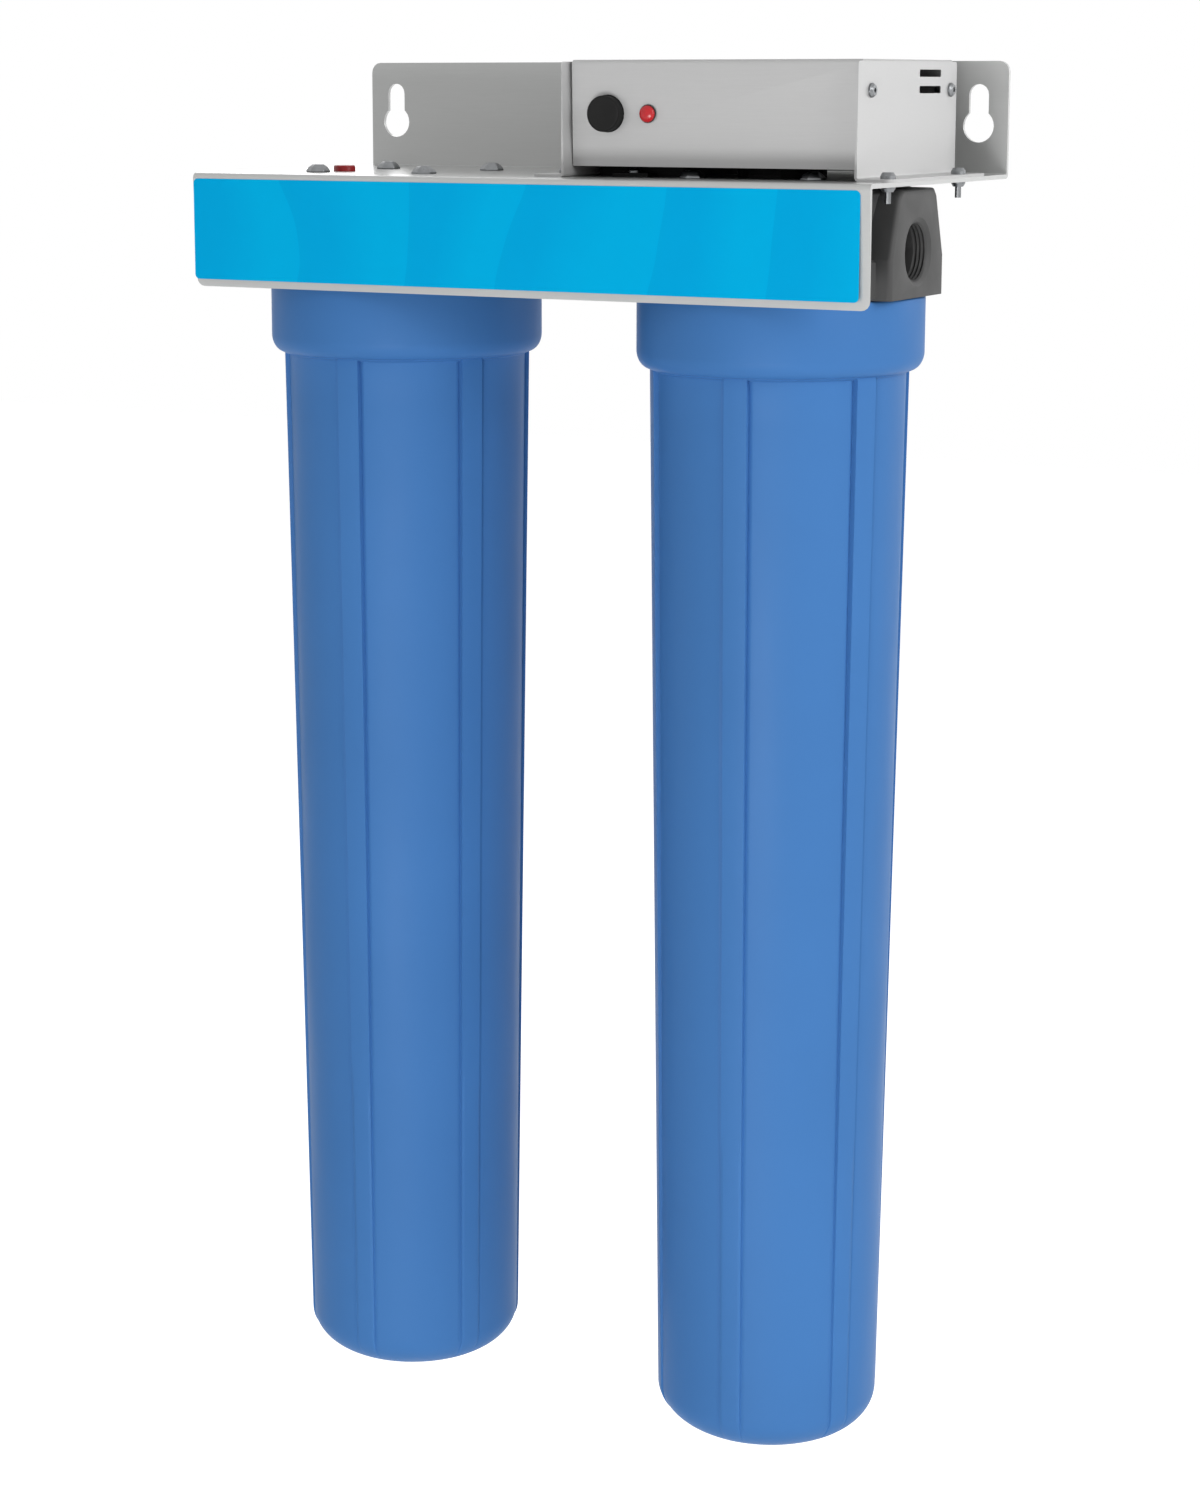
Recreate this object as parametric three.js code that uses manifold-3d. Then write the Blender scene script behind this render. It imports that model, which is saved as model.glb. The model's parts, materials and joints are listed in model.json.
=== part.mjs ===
// A two-stage ultraviolet water purifier that hangs on a wall: a bent steel bracket, two plastic
// heads under it, a blue sump screwed to each head, and a ballast box on top.
// Lengths are millimetres. +Z is up and the front faces -Y. Inside the main group, x runs from the
// bracket's left end, y from the front flange's outer face and z from the plate's upper face.

import * as THREE from 'three';
import { mergeVertices } from 'three/addons/utils/BufferGeometryUtils.js';
import Module from 'manifold-3d';

const wasm = await Module();
wasm.setup();

// Clearances shared by all pieces
const gap = 0.3;
const overrun = 1;

// Bracket: one steel sheet bent down in front and up behind
const bracketSheet = 2;
const frontDrop = 53;
const rearRise = 51.5;
const bendInside = 0.5;
const frontCorner = 4;
const rearCorner = 5;

// Keyholes in the rear flange: a round mouth with a narrow slot above it
const keyholeInset = 14.4;
const keyholeHeight = 21.9;
const keyholeRadius = 7.55;
const keyholeSlot = 9.7;
const keyholeTop = 41.05;

// Head: the plastic top of a housing, held under the plate by four screws
const headRadius = 66;
const headBottom = 51.5;
const headRingHeight = 17.7;
const headTop = 4;
const domeInset = 6;
const domeSlope = 10;
const domeRise = 3;
const domeGap = 0.9;
const domeRadius = headRadius - domeInset;
const domeTopRadius = domeRadius - domeSlope;
const headEdge = 1.2;
const portProud = 0.1;
const portReach = headRadius + portProud;
const portBlockWidth = 60;
const portBlockTopWidth = 43.2;
const portHeight = 31.5;
const capScrewX = 29.3;
const capScrewY = 31.4;

// Housings: their vertical axes under the plate, close behind its front flange
const leftAxis = 74.4;
const housingSpacing = 197.9;
const headFrontGap = 1.8;
const rightAxis = leftAxis + housingSpacing;
const axisDepth = bracketSheet + headFrontGap + headRadius;

// Collar of the sump, the sealing ring under it and the screw thread inside that
const collarStep = 1;
const sealInset = 3;
const sealLand = 4;
const collarRadius = headRadius - collarStep;
const sealRadius = collarRadius - sealInset;
const sealThick = 2.9;
const threadRadius = sealRadius - sealLand;
const threadDepth = 1.8;
const threadPitch = 5.5;
const threadTurns = 1.5;
const skirtLength = 22.5;
const skirtWall = 6.2;
const skirtBore = threadRadius - threadDepth - skirtWall;

// Port bores: a tapered pipe thread of three-quarter inch size
const portRadius = 12.4;
const portMouth = 15.2;
const portBevel = 1.2;
const portDepth = 20;
const pipePitch = 1.81;

// Sump: the long ribbed cup that screws onto the head
const collarStraight = 25.2;
const collarRound = 8.2;
const collarOverhang = 6.1;
const sumpTaper = 6.6;
const sumpTopRadius = collarRadius - collarOverhang;
const sumpBottomRadius = sumpTopRadius - sumpTaper;
const sumpStraightEnd = 571;
const shoulderWidth = 27.3;
const shoulderHeight = 19.8;
const sumpFootRadius = 26;
const sumpFootHeight = 2.6;
const sumpWall = 4.2;
const sumpFloor = 4.5;
const sumpRibs = 6;
const ribWidth = 10.8;
const ribHeight = 1.3;
const footRecessShare = 0.3;
const ribAzimuths = { left: 3, right: 5.5 };
const sumpTop = headBottom + gap;
const wellEndRadius = sumpBottomRadius - sumpWall - ribHeight;

// Stainless liner round the lamp, and the ring above it that parts the head's two ways
const linerWellGap = 8.8;
const linerRadius = wellEndRadius - linerWellGap;
const linerWall = 0.8;

// Centre post inside the sump's floor
const postRadius = 11;
const postHeight = 18.5;
const seatRadius = 17;
const seatHeight = 9;

// Ballast box: two end panels with feet, and a cover between them
const boxSheet = 1.2;
const boxWidth = 143.7;
const boxEndInset = 16.2;
const rightAxisInset = 72.7;
const bracketWidth = rightAxis + rightAxisInset;
const boxRight = bracketWidth - boxEndInset;
const boxLeft = boxRight - boxWidth;
const boxFront = 22.9;
const footScrewBlockGap = 14.4;
const footScrewEndInset = 20.5;
const footScrewBack = axisDepth + portBlockWidth / 2 + footScrewBlockGap;
const boxBack = footScrewBack + footScrewEndInset;
const wallClearance = 25.8;
const bracketDepth = boxBack + wallClearance;
const endPanelHeight = 50.9;
const footWidth = 15.7;
const footCorner = 4;
const footBend = 1;
const coverRecess = 7.2;
const coverFront = boxFront + coverRecess;
const coverBack = boxBack - boxSheet;
const coverBottom = 4.85;
const coverLip = 0.8;
const coverScrewHeight = 38.5;
const coverScrewFrontInset = 6.5;
const coverScrewBackInset = 7.7;
const coverScrewFront = coverFront + coverScrewFrontInset;
const coverScrewBack = boxBack - coverScrewBackInset;
const ventLength = 24.9;
const ventWidth = 3.2;
const ventInset = 31.4;
const ventMiddle = boxBack - ventInset;
const ventHeights = [38.6, 45.8];

// Foot screws of the ballast box
const footScrewReach = 10;
const footScrewRightInset = 10.5;
const footScrewLeftInset = 23.1;
const footScrewFrontRight = boxFront + footScrewRightInset;
const footScrewFrontLeft = boxFront + footScrewLeftInset;

// Push button and lamp on the cover's front
const buttonInset = 19.3;
const buttonX = boxLeft + buttonInset;
const panelHeight = 28.1;
const buttonRadius = 8;
const buttonProud = 4.6;
const buttonTravel = 1.2;
const lampSpacing = 20.5;
const lampX = buttonX + lampSpacing;
const lensRadius = 3.7;
const lensStem = 2.7;
const lensProud = 2.2;

// Shared screw sizes: shank radii and the clearance holes that they pass
const capScrewShank = 2.5;
const footScrewShank = 1.5;
const coverScrewShank = 1.6;
const holeClearance = 0.35;

// Ultraviolet lamp and its quartz sleeve, in the right housing
const sleeveRadius = 11.5;
const sleeveWall = 1.5;
const sleeveTop = 1.6;
const sleeveBottom = 560;
const lampRadius = 8;
const lampBaseRadius = 8.7;
const lampBottom = 528;
const lampBaseTop = 25;
const neckRadius = 16.8;
const neckTop = 5;
const neckCounterbore = 14.7;
const neckFloor = 3;

// Gland nut over the sleeve's neck
const nutRadius = 20;
const nutRibHeight = 1.1;
const nutRibs = 16;
const nutTop = 12;
const nutFlange = 3.2;

// Relief button on the left head
const reliefX = -25.7;
const reliefY = -14;
const reliefRadius = 5.3;
const reliefProud = 2.8;
const reliefShoulder = 6.8;
const reliefShoulderThick = 2;
const reliefHeadBottom = 9;
const reliefStem = 2.2;
const reliefBore = 18.5;
const reliefSealThick = 1.4;
const reliefSealDepth = 22;

// Sides of round pieces
const wideSides = 40;
const roundSides = 24;
const mediumSides = 16;
const smallSides = 12;
const holeSides = 10;
const thinSides = 8;

// Materials

function material(color, roughness, metalness) {
  return new THREE.MeshStandardMaterial({ color, roughness, metalness });
}

const steelGrey = material(0xc4c7c7, 0.45, 0.6);
const boxGrey = material(0xd2d4d4, 0.5, 0.5);
const zinc = material(0xa9acae, 0.35, 0.9);
const labelCyan = material(0x00a3d8, 0.35, 0);
const headBlack = material(0x3a3a3a, 0.6, 0);
const sumpBlue = material(0x4678b9, 0.45, 0);
const black = material(0x1c1c1c, 0.55, 0);
const rubberBlack = material(0x141414, 0.8, 0);
const signalRed = material(0xb4161c, 0.3, 0);
const lensRed = material(0xd2202a, 0.15, 0);
const filterWhite = material(0xe9e6dc, 0.9, 0);
const stainless = material(0xc9cbcc, 0.25, 1);
const quartz = material(0xdfe8ea, 0.05, 0);
const boardGreen = material(0x1f6b3a, 0.5, 0);
const nippleGrey = material(0x4a4a4a, 0.6, 0);

// Solids: geometry to closed solid and back

function solid(geometry) {
  const bare = new THREE.BufferGeometry();
  bare.setAttribute('position', geometry.getAttribute('position').clone());
  if (geometry.index) {
    bare.setIndex(geometry.index.clone());
  }
  const merged = mergeVertices(bare);
  const points = Float32Array.from(merged.getAttribute('position').array);
  const corners = dropSlivers(merged.index.array);
  if (signedVolume(points, corners) < 0) {
    flip(corners);
  }
  const triVerts = Uint32Array.from(corners);
  return new wasm.Manifold(new wasm.Mesh({ numProp: 3, vertProperties: points, triVerts }));
}

// Triangles that lost a corner where a profile touches its axis
function dropSlivers(indices) {
  const kept = [];
  for (let i = 0; i < indices.length; i += 3) {
    const [a, b, c] = [indices[i], indices[i + 1], indices[i + 2]];
    if (a !== b && b !== c && a !== c) {
      kept.push(a, b, c);
    }
  }
  return kept;
}

function signedVolume(points, corners) {
  const [a, b, c] = [new THREE.Vector3(), new THREE.Vector3(), new THREE.Vector3()];
  let sum = 0;
  for (let i = 0; i < corners.length; i += 3) {
    a.fromArray(points, 3 * corners[i]);
    b.fromArray(points, 3 * corners[i + 1]);
    c.fromArray(points, 3 * corners[i + 2]);
    sum += a.dot(b.cross(c));
  }
  return sum;
}

function flip(corners) {
  for (let i = 0; i < corners.length; i += 3) {
    [corners[i], corners[i + 1]] = [corners[i + 1], corners[i]];
  }
}

function asSolid(shape) {
  return shape instanceof THREE.BufferGeometry ? solid(shape) : shape;
}

function join(first, ...others) {
  return others.reduce((sum, next) => sum.add(asSolid(next)), asSolid(first));
}

function cut(first, ...others) {
  return others.reduce((rest, next) => rest.subtract(asSolid(next)), asSolid(first));
}

function asGeometry(shape) {
  const mesh = asSolid(shape).getMesh();
  const geometry = new THREE.BufferGeometry();
  geometry.setAttribute('position', new THREE.BufferAttribute(mesh.vertProperties, 3));
  geometry.setIndex(new THREE.BufferAttribute(mesh.triVerts, 1));
  geometry.computeVertexNormals();
  return geometry;
}

// Basic forms

// A profile of [radius, height] pairs turned about Z
function turned(profile, sides) {
  const points = profile.map(([radius, height]) => new THREE.Vector2(radius, height));
  return new THREE.LatheGeometry(points, sides).rotateX(Math.PI / 2);
}

function rod(radius, low, high, sides = smallSides) {
  return turned([[0, low], [radius, low], [radius, high], [0, high]], sides);
}

function pipe(inner, outer, low, high, sides) {
  return turned([[inner, low], [outer, low], [outer, high], [inner, high], [inner, low]], sides);
}

// Angles from 0 to a right angle
function quarter(steps) {
  return Array.from({ length: steps + 1 }, (unused, i) => ((Math.PI / 2) * i) / steps);
}

// A ring of round section about Z
function ringSeal(radius, thick, middle, sides, steps) {
  const profile = [];
  for (let i = 0; i <= steps; i += 1) {
    const turn = (2 * Math.PI * i) / steps;
    profile.push([radius + (thick / 2) * Math.cos(turn), middle + (thick / 2) * Math.sin(turn)]);
  }
  return turned(profile, sides);
}

function block(low, high) {
  const size = high.map((value, i) => value - low[i]);
  const middle = high.map((value, i) => (value + low[i]) / 2);
  return new THREE.BoxGeometry(...size).translate(...middle);
}

// Turns a form that was made along Z so that it lies along X or Y
function toX(geometry) {
  return geometry.rotateY(Math.PI / 2);
}

function toY(geometry) {
  return geometry.rotateX(-Math.PI / 2);
}

function extruded(shape, depth, curveSegments = 4) {
  return new THREE.ExtrudeGeometry(shape, { depth, bevelEnabled: false, curveSegments });
}

// A shape drawn in y and z, extruded from one x to another
function alongX(shape, from, to) {
  const basis = new THREE.Matrix4().makeBasis(
    new THREE.Vector3(0, 1, 0), new THREE.Vector3(0, 0, 1), new THREE.Vector3(1, 0, 0));
  return extruded(shape, to - from).applyMatrix4(basis).translate(from, 0, 0);
}

// A shape drawn in x and z, extruded from one y to another
function alongY(shape, from, to) {
  return extruded(shape, to - from).rotateX(Math.PI / 2).translate(0, to, 0);
}

// A shape drawn in x and y, extruded from one z to another
function alongZ(shape, from, to) {
  return extruded(shape, to - from).translate(0, 0, from);
}

function roundedRectangle(left, right, low, high, radius) {
  const shape = new THREE.Shape();
  shape.absarc(right - radius, low + radius, radius, -Math.PI / 2, 0, false);
  shape.absarc(right - radius, high - radius, radius, 0, Math.PI / 2, false);
  shape.absarc(left + radius, high - radius, radius, Math.PI / 2, Math.PI, false);
  shape.absarc(left + radius, low + radius, radius, Math.PI, 1.5 * Math.PI, false);
  return shape;
}

// The waste outside a rounded corner at u, v; goU and goV point into the sheet
function cornerWaste(u, v, goU, goV, radius) {
  const shape = new THREE.Shape();
  const past = overrun;
  const middle = [u + goU * radius, v + goV * radius];
  shape.moveTo(u - goU * past, v - goV * past);
  shape.lineTo(middle[0], v - goV * past);
  const steps = 4;
  for (let i = 0; i <= steps; i += 1) {
    const turn = ((Math.PI / 2) * i) / steps;
    shape.lineTo(middle[0] - goU * radius * Math.sin(turn), middle[1] - goV * radius * Math.cos(turn));
  }
  shape.lineTo(u - goU * past, middle[1]);
  return shape;
}

// A round bar bent along a smooth curve, closed at both ends
function bentBar(points, radius, steps, sides) {
  const section = new THREE.Shape();
  for (let i = 0; i < sides; i += 1) {
    const turn = (2 * Math.PI * i) / sides;
    const corner = [radius * Math.cos(turn), radius * Math.sin(turn)];
    if (i === 0) {
      section.moveTo(...corner);
    } else {
      section.lineTo(...corner);
    }
  }
  const extrudePath = new THREE.CatmullRomCurve3(points.map((point) => new THREE.Vector3(...point)));
  return new THREE.ExtrudeGeometry(section, { steps, extrudePath, bevelEnabled: false });
}

// A closed tube of sections: each section is a ring of [x, y, z] points, all with one count
function lofted(sections) {
  const count = sections[0].length;
  const positions = sections.flat(2);
  const indices = [];
  for (let s = 0; s + 1 < sections.length; s += 1) {
    for (let i = 0; i < count; i += 1) {
      const j = (i + 1) % count;
      const [a, b] = [s * count + i, s * count + j];
      indices.push(a, b, b + count, a, b + count, a + count);
    }
  }
  const ends = [0, sections.length - 1];
  ends.forEach((s, end) => {
    for (let i = 1; i + 1 < count; i += 1) {
      const fan = [s * count, s * count + i, s * count + i + 1];
      indices.push(...(end ? fan : fan.reverse()));
    }
  });
  const geometry = new THREE.BufferGeometry();
  geometry.setAttribute('position', new THREE.Float32BufferAttribute(positions, 3));
  geometry.setIndex(indices);
  return geometry;
}

// A ridge of four-sided section that climbs around Z
function helix(section, pitch, turns, stepsPerTurn, start) {
  const steps = Math.round(turns * stepsPerTurn);
  const sections = [];
  for (let i = 0; i <= steps; i += 1) {
    const turn = (2 * Math.PI * i) / stepsPerTurn;
    const lift = start + (pitch * i) / stepsPerTurn;
    sections.push(section.map(([radius, height]) => [
      radius * Math.cos(turn), radius * Math.sin(turn), height + lift]));
  }
  return lofted(sections);
}

// Groups: everything hangs in one group whose origin is on the wall, midway between the keyholes,
// at the height where the wall screws bear

const hangHeight = keyholeTop - keyholeSlot / 2;
const purifier = new THREE.Group();
purifier.position.set(-bracketWidth / 2, -bracketDepth, -hangHeight);

const leftHousing = new THREE.Group();
leftHousing.position.set(leftAxis, axisDepth, 0);
const rightHousing = new THREE.Group();
rightHousing.position.set(rightAxis, axisDepth, 0);
purifier.add(leftHousing, rightHousing);

function addPiece(name, shape, finish, place = [0, 0, 0], parent = purifier) {
  const mesh = new THREE.Mesh(asGeometry(shape), finish);
  mesh.name = name;
  mesh.position.set(...place);
  parent.add(mesh);
}

// Bracket

function bracketProfile() {
  const bendOutside = bendInside + bracketSheet;
  const rearFace = bracketDepth - bracketSheet;
  const rearBend = rearFace - bendInside;
  const shape = new THREE.Shape();
  shape.moveTo(0, -frontDrop);
  shape.absarc(bendOutside, -bendOutside, bendOutside, Math.PI, Math.PI / 2, true);
  shape.absarc(rearBend, bendInside, bendInside, -Math.PI / 2, 0, false);
  shape.lineTo(rearFace, rearRise);
  shape.lineTo(bracketDepth, rearRise);
  shape.absarc(rearBend, bendInside, bendOutside, 0, -Math.PI / 2, true);
  shape.absarc(bendOutside, -bendOutside, bendInside, Math.PI / 2, Math.PI, false);
  shape.lineTo(bracketSheet, -frontDrop);
  return shape;
}

function keyholeCutter(x) {
  const from = bracketDepth - bracketSheet - overrun;
  const to = bracketDepth + overrun;
  const half = keyholeSlot / 2;
  const slot = new THREE.Shape();
  slot.moveTo(x - half, keyholeHeight);
  slot.lineTo(x + half, keyholeHeight);
  slot.absarc(x, keyholeTop - half, half, 0, Math.PI, false);
  const mouth = toY(rod(keyholeRadius, from, to, roundSides)).translate(x, 0, keyholeHeight);
  return join(alongY(slot, from, to), mouth);
}

function plateHole(x, y, radius, sides = holeSides) {
  return rod(radius, -bracketSheet - overrun, overrun, sides).translate(x, y, 0);
}

function capScrewPlaces() {
  const places = [];
  for (const [sideName, dx] of [['left', -capScrewX], ['right', capScrewX]]) {
    for (const [endName, dy] of [['front', -capScrewY], ['rear', capScrewY]]) {
      places.push({ name: `${endName}_${sideName}`, dx, dy });
    }
  }
  return places;
}

function footScrewPlaces() {
  return [
    { name: 'left_front', x: boxLeft - footScrewReach, y: footScrewFrontLeft },
    { name: 'left_rear', x: boxLeft - footScrewReach, y: footScrewBack },
    { name: 'right_front', x: boxRight + footScrewReach, y: footScrewFrontRight },
    { name: 'right_rear', x: boxRight + footScrewReach, y: footScrewBack },
  ];
}

// Ballast: a potted block on the plate, beside the lamp, held by a tab at each end
const ballastEndGap = 4.9;
const ballastNutGap = 17.3;
const ballastLeft = boxLeft + ballastEndGap;
const ballastRight = rightAxis - nutRadius - ballastNutGap;
const ballastFront = 49;
const ballastRearGap = 9.7;
const ballastDepth = boxBack - ballastRearGap - ballastFront;
const ballastHeight = 33;
const ballastTab = 9;
const ballastTabWidth = 18;
const ballastTabThick = 1.8;
const ballastTabShift = 1.5;
const ballastTabX = (ballastLeft + ballastRight) / 2 - ballastTabShift;
const ballastScrewInset = 4.5;
const ballastCorner = 3;
const ballastScrewPlaces = [
  { name: 'front', y: ballastFront - ballastScrewInset },
  { name: 'rear', y: ballastFront + ballastDepth + ballastScrewInset },
];

function bracket() {
  const half = bracketDepth / 2;
  const cutters = [
    keyholeCutter(keyholeInset),
    keyholeCutter(bracketWidth - keyholeInset),
    plateHole(leftAxis + reliefX, axisDepth + reliefY, reliefRadius + holeClearance, roundSides),
    plateHole(rightAxis, axisDepth, neckRadius + holeClearance, roundSides),
  ];
  for (const [x, goX] of [[0, 1], [bracketWidth, -1]]) {
    cutters.push(alongY(cornerWaste(x, -frontDrop, goX, 1, frontCorner), -overrun, half));
    cutters.push(alongY(cornerWaste(x, rearRise, goX, -1, rearCorner), half, bracketDepth + overrun));
  }
  for (const axis of [leftAxis, rightAxis]) {
    for (const { dx, dy } of capScrewPlaces()) {
      cutters.push(plateHole(axis + dx, axisDepth + dy, capScrewShank + holeClearance));
    }
  }
  for (const { x, y } of footScrewPlaces()) {
    cutters.push(plateHole(x, y, footScrewShank + holeClearance));
  }
  for (const { y } of ballastScrewPlaces) {
    cutters.push(plateHole(ballastTabX, y, footScrewShank + holeClearance));
  }
  return cut(alongX(bracketProfile(), 0, bracketWidth), ...cutters);
}

addPiece('mounting_bracket', bracket(), steelGrey);

// Front label: a printed film on the front flange
const labelThick = 0.3;
const labelLeft = 0.4;
const labelEndMargin = 4.4;
const labelFootMargin = 3.5;
const labelRight = bracketWidth - labelEndMargin;
const labelLow = labelFootMargin - frontDrop;
const labelHigh = -bendInside - bracketSheet - gap / 2;
const labelCorner = 2.3;
const labelShape = roundedRectangle(labelLeft, labelRight, labelLow, labelHigh, labelCorner);
addPiece('front_label', alongY(labelShape, -labelThick, 0), labelCyan);

// Heads

// Outline of the port block, seen along X; it narrows above the shoulder
const portCorner = 3;

function portBlockOutline(sideInset, topInset) {
  const corner = portCorner;
  const half = portBlockWidth / 2 - sideInset;
  const topHalf = portBlockTopWidth / 2 - sideInset;
  const low = -headBottom;
  const high = -headTop - topInset;
  const shoulder = -headBottom + headRingHeight;
  const points = [
    [half, low], [half, shoulder], [topHalf, high - corner], [topHalf - corner, high],
    [corner - topHalf, high], [-topHalf, high - corner], [-half, shoulder], [-half, low],
  ];
  return points;
}

// Block that carries both ports, with its upright edges rounded
const portEdge = 2.2;
const portTopEdge = 1;

function portBlock() {
  const sections = [];
  for (const side of [-1, 1]) {
    for (const turn of side < 0 ? quarter(3).reverse() : quarter(3)) {
      const x = side * (portReach - portEdge * (1 - Math.sin(turn)));
      const lean = 1 - Math.cos(turn);
      const outline = portBlockOutline(portEdge * lean, portTopEdge * lean);
      sections.push(outline.map(([y, z]) => [x, y, z]));
    }
  }
  return lofted(sections);
}

// The threaded bore, from the block's face at x = 0 towards +X; ridges only on an open port
function portCutter(ridges) {
  const crest = portRadius;
  const root = portRadius + pipePitch / 2;
  const profile = [[0, -overrun], [portMouth, -overrun], [portMouth, 0]];
  profile.push([root, portBevel]);
  for (let i = 0; i < ridges; i += 1) {
    const start = portBevel + i * pipePitch;
    profile.push([crest, start + pipePitch / 2]);
    profile.push([root, start + pipePitch]);
  }
  profile.push([crest, portBevel + (ridges + 0.5) * pipePitch]);
  profile.push([crest, portDepth], [0, portDepth]);
  return toX(turned(profile, roundSides));
}

const bossRadius = 6.5;
const bossDepth = 16;
const capScrewLength = 13;
const postOuter = 15.5;
const postBore = 9.5;
const headPostLength = 16.4;
const cavityTop = 44.2;
const windowLength = 8.5;
const windowWidth = 26;
const flowRingWall = 2.7;
const flowRingLength = 14;
const sleeveClearance = 0.4;

function headBody() {
  const ringTop = headRingHeight - headBottom;
  const ring = turned([
    [0, -headBottom], [headRadius - headEdge, -headBottom], [headRadius, headEdge - headBottom],
    [headRadius, ringTop - headEdge], [headRadius - headEdge, ringTop], [0, ringTop],
  ], wideSides);
  const domeTop = -bracketSheet - domeGap;
  const domeRound = quarter(3).map((turn) => (
    [domeTopRadius + domeSlope * Math.cos(turn), domeTop - domeRise * (1 - Math.sin(turn))]));
  const dome = turned([[0, -cavityTop], [domeRadius, -cavityTop], ...domeRound, [0, domeTop]], wideSides);
  const bosses = capScrewPlaces().map(({ dx, dy }) => (
    rod(bossRadius, -bossDepth, -bracketSheet).translate(dx, dy, 0)));
  return join(portBlock(), ring, dome, ...bosses);
}

// Skirt with the male thread; its top face lies on the underside of the head's ring
function headSkirt() {
  const root = threadRadius - threadDepth;
  const bottom = -headBottom - skirtLength;
  const skirt = pipe(skirtBore, root, bottom, -headBottom, wideSides);
  const ridgeFoot = threadPitch * 0.32;
  const ridgeCrest = threadPitch * 0.13;
  const embed = 0.3;
  const section = [
    [root - embed, -ridgeFoot], [threadRadius, -ridgeCrest], [threadRadius, ridgeCrest],
    [root - embed, ridgeFoot],
  ];
  const start = bottom + ridgeFoot + overrun;
  return join(skirt, helix(section, threadPitch, threadTurns, wideSides / 2, start));
}

// Water ways: the left port opens outside the centre, the right port at it
function headWays(leftRidges, rightRidges, centreX) {
  const innerEnd = portDepth - portReach;
  const leftPort = portCutter(leftRidges).translate(-portReach, 0, -portHeight);
  const rightPort = portCutter(rightRidges).rotateZ(Math.PI).translate(portReach, 0, -portHeight);
  const window = block(
    [-skirtBore, -windowWidth / 2, -cavityTop - overrun],
    [windowLength - skirtBore, windowWidth / 2, -portHeight]);
  const reach = toX(rod(postBore, innerEnd - overrun, windowLength - skirtBore)).translate(
    0, 0, -portHeight);
  const channel = toX(rod(postBore, centreX, portReach - portDepth + overrun)).translate(
    0, 0, -portHeight);
  const drop = rod(postBore, -cavityTop - overrun, -portHeight).translate(centreX, 0, 0);
  return [leftPort, rightPort, window, reach, channel, drop];
}

function screwHoles() {
  const depth = -bracketSheet - capScrewLength - overrun;
  return capScrewPlaces().map(({ dx, dy }) => (
    rod(capScrewShank + holeClearance, depth, overrun - bracketSheet).translate(dx, dy, 0)));
}

const cavity = rod(skirtBore, -headBottom - overrun, -cavityTop, wideSides);

// The first head: it presses on the filter cartridge and carries the relief button
const reliefBossRadius = 9;

function filterHead() {
  const post = rod(postOuter, -headBottom - headPostLength, -cavityTop + overrun, roundSides);
  const postHole = rod(postBore, -headBottom - headPostLength - overrun, -portHeight);
  const reliefBoss = rod(reliefBossRadius, -reliefBore - bossDepth, -bracketSheet - gap, roundSides);
  const shoulderHole = rod(reliefShoulder + gap, -reliefHeadBottom, 0, roundSides);
  const springHole = rod(reliefRadius + gap, -reliefBore, 0, roundSides);
  const stemHole = rod(reliefStem + gap, -cavityTop - overrun, 0);
  const half = reliefSealThick / 2 + gap;
  const grooveRadius = reliefStem + reliefSealThick + 2 * gap;
  const sealGroove = rod(grooveRadius, -reliefSealDepth - half, half - reliefSealDepth);
  const reliefHoles = [shoulderHole, springHole, stemHole, sealGroove].map((hole) => (
    hole.translate(reliefX, reliefY, 0)));
  const outside = cut(headBody(), cavity);
  const whole = join(outside, post, reliefBoss.translate(reliefX, reliefY, 0));
  return cut(whole, ...headWays(3, 0, 0), postHole, ...screwHoles(), ...reliefHoles);
}

// The second head: the quartz sleeve passes through its neck
const lampWayX = 27;

function lampHead() {
  const neck = rod(neckRadius, -headBottom + headRingHeight, neckTop, roundSides);
  const counterbore = rod(neckCounterbore, -neckFloor, neckTop + overrun, roundSides);
  const sleeveHole = rod(sleeveRadius + sleeveClearance, -cavityTop - overrun, 0, roundSides);
  const whole = join(cut(headBody(), cavity), neck);
  const ways = headWays(0, 3, lampWayX);
  return cut(whole, ...ways, ...screwHoles(), counterbore, sleeveHole);
}

addPiece('head_left', filterHead(), headBlack, [0, 0, 0], leftHousing);
addPiece('head_right', lampHead(), headBlack, [0, 0, 0], rightHousing);
addPiece('head_skirt_left', headSkirt(), headBlack, [0, 0, 0], leftHousing);
addPiece('head_skirt_right', headSkirt(), headBlack, [0, 0, 0], rightHousing);

// Flow ring under the right head's roof: water comes down outside it and goes up inside it
const flowRingInner = linerRadius + gap;
const flowRing = pipe(
  flowRingInner, flowRingInner + flowRingWall, -cavityTop - flowRingLength, -cavityTop, wideSides);
addPiece('flow_ring', flowRing, headBlack, [0, 0, 0], rightHousing);

// Cap screws: a washer face under a low six-sided head
const capScrewHead = 3.6;
const capScrewFlange = 5.85;
const capScrewFlangeThick = 0.7;
const capScrewCrown = 2.7;

function capScrew() {
  const crownFoot = (capScrewFlange + capScrewCrown) / 2;
  const crownStep = (capScrewHead + capScrewFlangeThick) / 2;
  const head = turned([
    [0, 0], [capScrewFlange, 0], [capScrewFlange, capScrewFlangeThick],
    [crownFoot + overrun / 2, crownStep], [capScrewCrown, capScrewHead], [0, capScrewHead],
  ], 6);
  const shank = rod(
    capScrewShank, -bracketSheet - capScrewLength, capScrewFlangeThick / 2, thinSides);
  return join(head, shank);
}

for (const [housing, side] of [[leftHousing, 'left'], [rightHousing, 'right']]) {
  for (const { name, dx, dy } of capScrewPlaces()) {
    addPiece(`head_screw_${side}_${name}`, capScrew(), zinc, [dx, dy, 0], housing);
  }
}

// Sumps

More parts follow.
